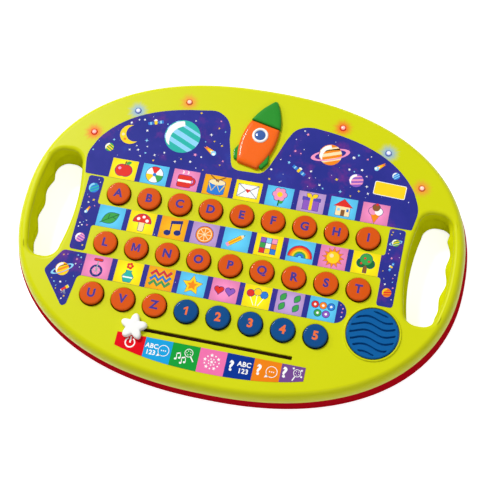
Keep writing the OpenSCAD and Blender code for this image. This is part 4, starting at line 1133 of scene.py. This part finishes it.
def planet(r, inks, turn):
    """A striped ball, lit from its upper left."""
    base, band, light = inks
    strips = []
    for low, high in ((-0.62, -0.36), (-0.1, 0.2), (0.5, 0.66)):
        a0, a1 = math.degrees(math.asin(low)), math.degrees(math.asin(high))
        strip = arc(0, 0, r, a0, a1, 6) + arc(0, 0, r, 180 - a1, 180 - a0, 6)
        strips.append((band, moved(strip, 0, 0, turn)))
    lit = arc(0, 0, r * 0.94, 95, 215, 16) + arc(r * 0.26, -r * 0.26, r * 0.94, 205, 105, 16)
    return [(base, disc(0, 0, r, steps=40)), *strips, (light, lit)]


def ringed_planet(label, x, y, r, inks, turn):
    """A planet between the back and the front of its ring."""
    base, band, ring_ink = inks
    back, front = ([(px, py * 0.3) for px, py in arch(0, 0, r * 1.75, r * 0.36, start, start + 180, 20)]
                   for start in (0, 180))
    label.picture([(ring_ink, back)], x, y, turn)
    label.picture(planet(r, (base, band, "white"), turn) + [(ring_ink, moved(front, 0, 0, turn))], x, y)


def comet():
    """A ball of ice with a forked tail."""
    tails = [(ink, [(0, -width), (reach, -width * 0.25), (reach * 0.82, 0), (reach * 1.05, width * 0.5),
                    (0, width)])
             for ink, reach, width in (("orange", 7.4, 1.7), ("yellow", 5.2, 1.2), ("white", 2.8, 0.7))]
    return tails + [("sky", disc(0, 0, 1.7)), ("white", disc(-0.4, 0.4, 0.9))]


def satellite():
    """A can with a dish, between two rows of panels."""
    shapes = []
    for side in (-1, 1):
        shapes.append(("grey", rect(side * 1.4 - 0.8, -0.25, side * 1.4 + 0.8, 0.25)))
        for k in range(3):
            middle = side * (2.6 + 1.5 * k)
            shapes.append(("sky" if k % 2 else "blue", rect(middle - 0.65, -1.3, middle + 0.65, 1.3)))
    return shapes + [("yellow", soft(rect(-1.1, -1.6, 1.1, 1.6), 0.4)), ("white", arc(0, 1.6, 1.5, 0, 180))]


def crescent(r):
    """A moon: a disc without the part that a smaller disc covers, and two craters."""
    away, bite = 0.48, 0.87
    tip_x = (1 - bite ** 2 + away ** 2) / (2 * away)
    tip, bite_tip = math.degrees(math.acos(tip_x)), math.degrees(math.acos((tip_x - away) / bite))
    outer = arc(0, 0, r, tip, 360 - tip, 22)
    inner = arc(r * away, 0, r * bite, 360 - bite_tip, bite_tip, 22)[1:-1]
    return [("yellow", outer + inner), ("cream", disc(-r * 0.66, r * 0.2, r * 0.14)),
            ("orange", disc(-r * 0.6, -r * 0.34, r * 0.12))]


def telescope(label, x, y, size, turn):
    """A leaning telescope on three upright legs."""
    tube = [("red", rect(-3.4, -1.1, 1.4, 1.1)), ("yellow", rect(1.2, -1.4, 3.6, 1.4)),
            ("sky", rect(3.6, -1.2, 4.0, 1.2)), ("white", rect(-3.9, -0.6, -3.2, 0.6))]
    label.picture(tube, x, y, turn, size)
    for lean in (-1.8, 0, 1.8):
        label.ink("grey", stroke([(x, y - size), (x + lean * size, y - 5 * size)], 0.5 * size))


def star_field(label, outline, region, count, sizes, keep_off):
    """Small printed stars, scattered at random on the sheet but clear of the pictures."""
    x0, y0, x1, y1 = region
    placed = 0
    for _ in range(count * 12):
        x, y = random.uniform(x0, x1), random.uniform(y0, y1)
        size, ink = random.uniform(*sizes), random.choice(["white", "white", "sky", "pink", "yellow"])
        (tips, inner), turn = random.choice([(4, 0.32), (5, 0.45)]), random.uniform(0, 72)
        clear = all(math.hypot(x - px, y - py) > r + size for px, py, r in keep_off)
        held = all(inside(px, py, outline) for px, py in disc(x, y, size + 1.2, steps=8))
        if placed < count and clear and held:
            label.ink(ink, star(x, y, size, inner, tips, turn))
            keep_off = keep_off + [(x, y, size * 2)]
            placed += 1


def upper_sheet():
    """Outline of the upper label: an arch with a notch for the emblem."""
    low, end_y, shoulder_y, shoulder_r = corners_of("label_upper")[0].y, 43.8, 57, 36
    arch_line = [p for p in oval(LID_A - 36.5, LID_B - 28.5, 2.8) if p[1] > end_y]
    right = [p for p in arch_line if p[0] > 50 and p[1] > shoulder_y]
    left = [p for p in arch_line if p[0] < -52 and p[1] > shoulder_y]
    end_x, foot_x = max(p[0] for p in arch_line), GRIP_IN - 4.8
    right = soft([(foot_x, low), (end_x, end_y), right[0]], shoulder_r, 5, closed=False) + right[1:]
    left = left[:-1] + soft([left[-1], (-end_x, end_y), (-foot_x, low)], shoulder_r, 5, closed=False)
    notch = [(41.5, 19.5), (34, 18.4), (29, 16), (25.5, 12.5), (21.5, 4), (17, -9), (12.5, -21), (9.5, -26),
             (6, -28), (-12, -28.5), (-16.5, -26.5), (-18.2, -22.5), (-21, -12), (-23.5, -3), (-24.5, 6),
             (-27, 12), (-31, 16.5), (-37, 19.5), (-41.5, 19.9)]
    notch = soft(right[-1:] + moved(notch, *ROCKET_AT) + left[:1], 16, 8, closed=False)
    return soft(right[:-1] + notch + left[1:], 1.8, 40)


def label_upper(finishes, shapes):
    """The arch over the first row of keys: sky pictures, a bare plate, nine tiles."""
    label = Print(finishes)
    outline = upper_sheet()
    label.sheet("night", outline)
    tiles(label, 0, shapes)
    label.picture(planet(14.5, ("teal", "sky", "white"), -24), -62, 72)
    ringed_planet(label, 58, 78, 9.0, ("orange", "cream", "pink"), 20)
    label.picture(crescent(8.5), -104, 66, 24)
    label.picture(comet(), -34, 62, 148, 1.25)
    label.picture(comet(), 96, 73, 38, 1.1)
    label.picture(satellite(), -86, 80, 18)
    label.picture(satellite(), 36, 60, -32)
    label.picture(planet(5.6, ("purple", "pink", "white"), 12), 82, 60)
    label.picture(planet(3.6, ("green", "yellow", "white"), -30), -118, 52)
    label.picture(planet(3.0, ("blue", "sky", "white"), 40), 112, 69.5)
    plate_x, plate_y = 109.4, 56.6
    for ink, half_w, half_h, corner in (("white", 12.6, 5.8, 1.6), ("yellow", 12.1, 5.3, 1.3)):
        label.ink(ink, moved(soft(rect(-half_w, -half_h, half_w, half_h), corner), plate_x, plate_y, -2))
    clear = [(-62, 72, 15), (58, 78, 17), (-104, 66, 9), (-34, 62, 8), (99, 75, 8), (-86, 80, 8), (36, 60, 8),
             (82, 60, 6), (-118, 52, 5), (112, 69.5, 4), (plate_x, plate_y, 14)]
    star_field(label, outline, (-134, 46, -12, 98), 34, (0.7, 1.7), clear)
    star_field(label, outline, (12, 46, 134, 98), 30, (0.7, 1.7), clear)
    return label.finish("print_upper")


def label_middle(finishes, shapes):
    """Nine tiles between two upright strips of sky."""
    low, high = corners_of("label_middle")
    inner = high.x - 12.5
    band_low, band_high = TILE_ROWS[1]
    label = Print(finishes)
    outline = [(inner, high.y), (inner, band_high), (-inner, band_high), (-inner, high.y), (low.x, high.y),
               (low.x, low.y), (-inner, low.y), (-inner, band_low), (inner, band_low), (inner, low.y),
               (high.x, low.y), (high.x, high.y)]
    outline = soft(outline, 2.6)
    label.sheet("night", outline)
    tiles(label, 1, shapes)
    x = (inner + high.x) / 2
    label.picture(planet(4.2, ("blue", "teal", "sky"), 30), -x, 15)
    label.picture(comet(), -x - 1, -6, 64, 0.75)
    label.picture(planet(3.8, ("pink", "purple", "white"), -20), -x, -28)
    ringed_planet(label, x, 14, 3.0, ("green", "yellow", "sky"), 24)
    label.picture(satellite(), x, -6, 70, 0.62)
    label.picture(planet(3.6, ("orange", "red", "yellow"), 10), x, -27)
    for side in (-1, 1):
        star_field(label, outline, (side * x - 6, low.y, side * x + 6, high.y), 14, (0.5, 1.2),
                   [(side * x, 14.5, 6), (side * x, -6, 6), (side * x, -28, 5)])
    return label.finish("print_middle")


def label_lower(finishes, shapes):
    """Eight tiles, a round end at the right, and a pointed field of sky at the left."""
    high = corners_of("label_lower")[1]
    band_low, band_high = high.y - 18.2, high.y
    mid, end_r = (band_low + band_high) / 2, (band_high - band_low) / 2
    label = Print(finishes)
    outline = soft([(-115.0, band_low)] + arc(high.x - end_r, mid, end_r, -90, 90, 12)
                   + [(5 - GRIP_IN, band_high), (-6 - GRIP_IN, mid - 9.8), (15 - GRIP_IN, mid - 36),
                      (18.5 - GRIP_IN, mid - 34)], 4.5)
    label.sheet("night", outline)
    tiles(label, 2, shapes)
    ringed_planet(label, -128, -56, 5.4, ("yellow", "orange", "sky"), 32)
    telescope(label, -122, -71, 0.9, 42)
    star_field(label, outline, (-141, -84, -115, -41), 16, (0.5, 1.3), [(-128, -56, 9), (-122, -71, 5)])
    star_field(label, outline, (89, -57, 97, -42), 5, (0.6, 1.3), [])
    return label.finish("print_lower")


def mode_pictures(label, centres):
    """White signs on the seven fields of the mode label."""
    power, first, music, party, ask, ask_talk, ask_party = centres

    def sign(outline):
        label.layer = 9
        label.ink("white", outline)

    def bubble(x, y, r):
        for start in (0, 180):
            sign(arch(x, y, r, 0.5, start, start + 180, 14))
        sign([(x - r * 0.8, y - r * 0.5), (x - r * 0.3, y - r * 0.9), (x - r * 1.1, y - r * 1.15)])
        for k in (-1, 0, 1):
            sign(disc(x + 1.5 * k, y, 0.5, steps=10))

    def letters(x, y, size):
        for words, way in (("ABC", 1), ("123", -1)):
            label.words("white", words, x, y + way * size * 0.72, size, 0.04)

    def note(x, y):
        for part in (disc(-1.5, -2, 1.0, 0.8, 12), disc(1.5, -1.4, 1.0, 0.8, 12), rect(-0.9, -2, -0.4, 2.2),
                     rect(2.1, -1.4, 2.6, 2.8), [(-0.9, 1.4), (2.6, 2.0), (2.6, 3.0), (-0.9, 2.4)]):
            sign(moved(part, x, y, 10))

    def rattle(x, y, turn, scale=1.0):
        parts = [arch(0, 2, 3.3, 0.5, start, start + 180, 12) for start in (0, 180)]
        parts.append(rect(-0.45, -5.6, 0.45, -1.4))
        parts += [disc(1.6 * math.cos(k * 1.257), 2 + 1.6 * math.sin(k * 1.257), 0.4, steps=8)
                  for k in range(5)]
        for part in parts:
            sign(moved(part, x, y, turn, scale))

    def ring_of_stars(x, y, count, step, start, half_w, half_h, sizes, inner, tips, turn):
        for k in range(count):
            t = math.radians(step * k + start)
            at_x, at_y = x + half_w * math.cos(t), y + half_h * math.sin(t)
            sign(star(at_x, at_y, sizes[k % 2], inner, tips, turn * k))

    x, y = power
    sign(arch(x, y, 4.1, 1.0, 120, 420, 24))
    sign(rect(x - 0.6, y - 0.2, x + 0.6, y + 4.9))
    x, y = first
    letters(x - 4.9, y, 3.5)
    bubble(x + 4.6, y + 0.4, 4.4)
    x, y = music
    note(x - 5.4, y - 0.6)
    note(x - 1.0, y - 3.2)
    rattle(x + 3.8, y + 1.6, 36)
    ring_of_stars(*party, 11, 33, 0, 5.6, 5.2, (0.9, 1.5), 0.45, 5, 33)
    ring_of_stars(*party, 7, 51, 10, 2.6, 2.4, (0.9, 0.9), 0.4, 4, 20)
    sign(star(*party, 1.5, 0.45))
    for x, y in (ask, ask_talk, ask_party):
        label.words("white", "?", x - 6.0, y, 7.6, 0.06)
    letters(ask[0] + 3.6, ask[1], 3.7)
    bubble(ask_talk[0] + 3.8, ask_talk[1], 4.4)
    rattle(ask_party[0] + 2.6, ask_party[1] - 0.6, -24, 0.9)
    for dx, dy in ((6.4, 3.6), (6.8, -1.2), (0.2, 4.2)):
        sign(star(ask_party[0] + dx, ask_party[1] + dy, 1.1))


def label_mode(finishes):
    """Seven coloured fields in a row; their front edge follows the lid's."""
    label = Print(finishes)
    a, b = LID_A - 13, LID_B - 13

    def front_y(x):
        return -b * (1 - (abs(x) / a) ** FULLNESS) ** (1 / FULLNESS)

    def field(x0, x1, steps):
        return [(x, front_y(x)) for x in spaced(x0, x1, steps)] + [(x1, MODE_TOP), (x0, MODE_TOP)]

    label.sheet("mode_red", field(MODE_EDGES[0], MODE_EDGES[-1], 36))
    centres = []
    for name, x0, x1 in zip(MODE_PAPERS, MODE_EDGES, MODE_EDGES[1:]):
        label.ink(name, field(x0, x1, 8))
        centres.append(((x0 + x1) / 2, (MODE_TOP + front_y((x0 + x1) / 2)) / 2))
    mode_pictures(label, centres)
    return label.finish("print_mode")


# ---------- stage ----------


def area_light(name, place, size, power):
    """A round soft light that points at the board's middle."""
    light = bpy.data.lights.new(name, "AREA")
    light.shape, light.size, light.energy = "DISK", size, power
    obj = in_scene(name, light)
    obj.location = place
    obj.rotation_euler = (-Vector(place)).to_track_quat("-Z", "Y").to_euler()


def seen_rays(nodes):
    """1 for rays that show the background: from the camera, off gloss, or through glass."""
    seen = nodes.node("ShaderNodeLightPath", output="Is Camera Ray")
    for name in ("Is Glossy Ray", "Is Transmission Ray"):
        seen = nodes.maths("MAXIMUM", seen, nodes.node("ShaderNodeLightPath", output=name))
    return seen


def world(strength):
    """A white room: full white where it is seen, and a softer light on the board."""
    scene_world = bpy.data.worlds.new("studio")
    bpy.context.scene.world = scene_world
    scene_world.use_nodes = True
    nodes = Nodes(scene_world.node_tree)
    background = nodes.tree.nodes["Background"].inputs
    nodes.feed((1, 1, 1, 1), background["Color"])
    nodes.feed(seen_rays(nodes) * (1 - strength) + strength, background["Strength"])


def floor(lift):
    """Plain pale floor that goes white to the camera but keeps the object's shadow."""
    b = Build()
    b.face(b.loop(disc(0, 0, 3000, steps=64), -0.02))
    finish = Finish("floor", Roughness=0.9, Specular_IOR_Level=0.0, Emission_Color=(1, 1, 1, 1))
    pale = finish.mix(finish.noise(finish.place(), 300, 1.0), srgb("e9e9e9"), srgb("ececec"))
    finish.set(Base_Color=pale, Emission_Strength=seen_rays(finish) * lift)
    b.piece("floor", [finish.material])


def camera():
    """The view that the board's key rows, lamps and outline were fitted to."""
    data = bpy.data.cameras.new("camera")
    data.lens, data.sensor_width = 84.1, 36
    data.clip_start, data.clip_end = 0.05, 20
    right, up = (0.975869, 0.211121, -0.055738), (-0.179045, 0.919789, 0.349185)
    back, place = (0.124988, -0.33078, 0.935394), (125.1, -312.0, 879.07)
    rows = [[right[i], up[i], back[i], place[i] * MM] for i in range(3)]
    obj = in_scene("camera", data)
    obj.matrix_world = Matrix(rows + [[0, 0, 0, 1]])
    bpy.context.scene.camera = obj


def inner_works():
    """Finishes for the CAD parts that stay as they are."""
    zinc = metal("zinc_plate", "c4c6ca", 0.28)
    board = plastic("phenolic_board", "8a5a2b", 0.5, texture=0.5, drift=0.12)
    finishes = {
        "battery_door": plastic("red_plastic_door", "a8101f", 0.3),
        "door_screw": zinc, "case_screws": zinc, "board_screws": zinc,
        "rubber_feet": plastic("rubber", "2b2b2d", 0.75, texture=0.6, drift=0.15),
        "batteries": metal("battery_can", "3b4a63", 0.35),
        "battery_contacts": metal("nickel", "cfd0cc", 0.25),
        "slider_wiper": metal("nickel_spring", "d8c48a", 0.25),
        "main_board": board, "led_board_left": board, "led_board_right": board,
        "keypad_rubber": plastic("silicone", "d9d6cf", 0.6, texture=0.2, drift=0.04),
        "sound_chip": plastic("epoxy", "1c1c1e", 0.15), "capacitors": plastic("sleeve", "2a3e7a", 0.25),
        "speaker_basket": metal("pressed_steel", "b5b7ba", 0.35),
        "speaker_cone": plastic("cone_paper", "2f3033", 0.85, texture=0.9, drift=0.2),
        "speaker_magnet": metal("ferrite", "4a4b4f", 0.5), "ribbon_cables": plastic("cable", "9a9ca2", 0.45),
        "slider_carriage": plastic("carriage_plastic", "e6e4de", 0.35),
        "leds_red": lamp_glow("lamp_red", "cf2a1c", "ffd4cc"),
        "leds_blue": lamp_glow("lamp_blue", "5f70b4", "f6f8ff"),
        "leds_orange": lamp_glow("lamp_orange", "c4582c", "ffe2d2"),
    }
    for node, finish in finishes.items():
        materials = frame["nodes"][node].data.materials
        materials.clear()
        materials.append(finish)


def place(obj, body, slot, node):
    """Puts a piece on its body and hides the CAD node that it stands in for; slot is not used."""
    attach(obj, body)
    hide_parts(node)


def shell_pieces():
    lime = lime_shell("lime_plastic", gloss=0.1, dark="ccd008", pale="d3d70c")
    # painted light: the grips' walls get a lighter copy of the lime, so that they look less in shade; they
    # have no gloss either
    grip_lime_painted_lighter = lime_shell("lime_grip_painted_lighter", gloss=0.0, dark="d9dc0a", pale="dfe20e")
    place(lid(lime, grip_lime_painted_lighter), "case", "shell_lime", "top_shell")
    place(tray(plastic("red_plastic", "b80d1b", 0.3, gloss=0.0)), "case", "shell_red", "bottom_shell")


def key_pieces():
    """Letters are violet on orange caps, numbers orange on blue ones."""
    # both cap finishes paint shade on each key's lower side and on its flange
    finishes = {
        "key_orange": (plastic("key_orange", "d4530a", 0.26, texture=0.15, drift=0.04, coat=0.16,
                               gloss=0.035, foot=KEY_PAINTED_SHADE_HEIGHT), printed("legend_violet", "453a92")),
        "key_blue": (plastic("key_blue", "024884", 0.26, texture=0.15, drift=0.06, coat=0.18,
                             gloss=0.035, foot=KEY_PAINTED_SHADE_HEIGHT), printed("legend_orange", "f0713c"))}
    for name in KEYS:
        slot = "key_blue" if name.isdigit() else "key_orange"
        place(key_cap(name, *finishes[slot]), f"key_{name}", slot, f"key_{name}")


def face_pieces():
    """What stands on the face besides the keys: star knob, grille and rocket."""
    white = plastic("white_plastic", "f4f4f1", 0.3, drift=0.015)
    place(star_knob(white), "slider", "knob_white", "slider_knob")
    grille = wavy_grille(plastic("grille_blue", "065b9c", 0.32, texture=0.1, gloss=0.08))
    place(grille, "case", "grille_blue", "speaker_grille")
    body, trim, window = emblem(
        plastic("emblem_orange", "ee6410", 0.3, drift=0.06, coat=0.2, gloss=0.06),
        plastic("emblem_green", "238a26", 0.3, drift=0.12, coat=0.2, gloss=0.06), white,
        plastic("emblem_glass", "1d4f9c", 0.12, drift=0.1, coat=0.8))
    place(body, "case", "emblem_orange", "emblem_hull")
    place(trim, "case", "emblem_green", "emblem_fins")
    place(window, "case", "knob_white", "emblem_porthole")


def label_pieces():
    inks = {name: printed("ink_" + name, code) for name, code in INKS.items()}
    papers = {name: tile_paper(name, code) for name, code in PAPERS.items()}
    modes = {name: printed(name, code) for name, code in MODE_PAPERS.items()}
    shapes, pictures = icons(), {"night": night_sky(), **papers, **inks}
    place(label_upper(pictures, shapes), "case", "label_print", "label_upper")
    place(label_middle(pictures, shapes), "case", "label_print", "label_middle")
    place(label_lower(pictures, shapes), "case", "label_print", "label_lower")
    place(label_mode({**modes, "white": inks["white"]}), "case", "label_print", "label_mode")


def main():
    camera()
    bpy.context.scene.view_settings.view_transform = "Standard"
    inner_works()
    shell_pieces()
    key_pieces()
    face_pieces()
    label_pieces()
    world(strength=0.42)
    floor(lift=0.75)
    area_light("key_light", (-1.7, 1.62, 3.0), size=0.8, power=97)
    area_light("rim_light", (-1.6, 0.8, 1.0), size=0.3, power=6)
    area_light("front_light", (0.7, -1.3, 1.5), size=1.2, power=5)


main()
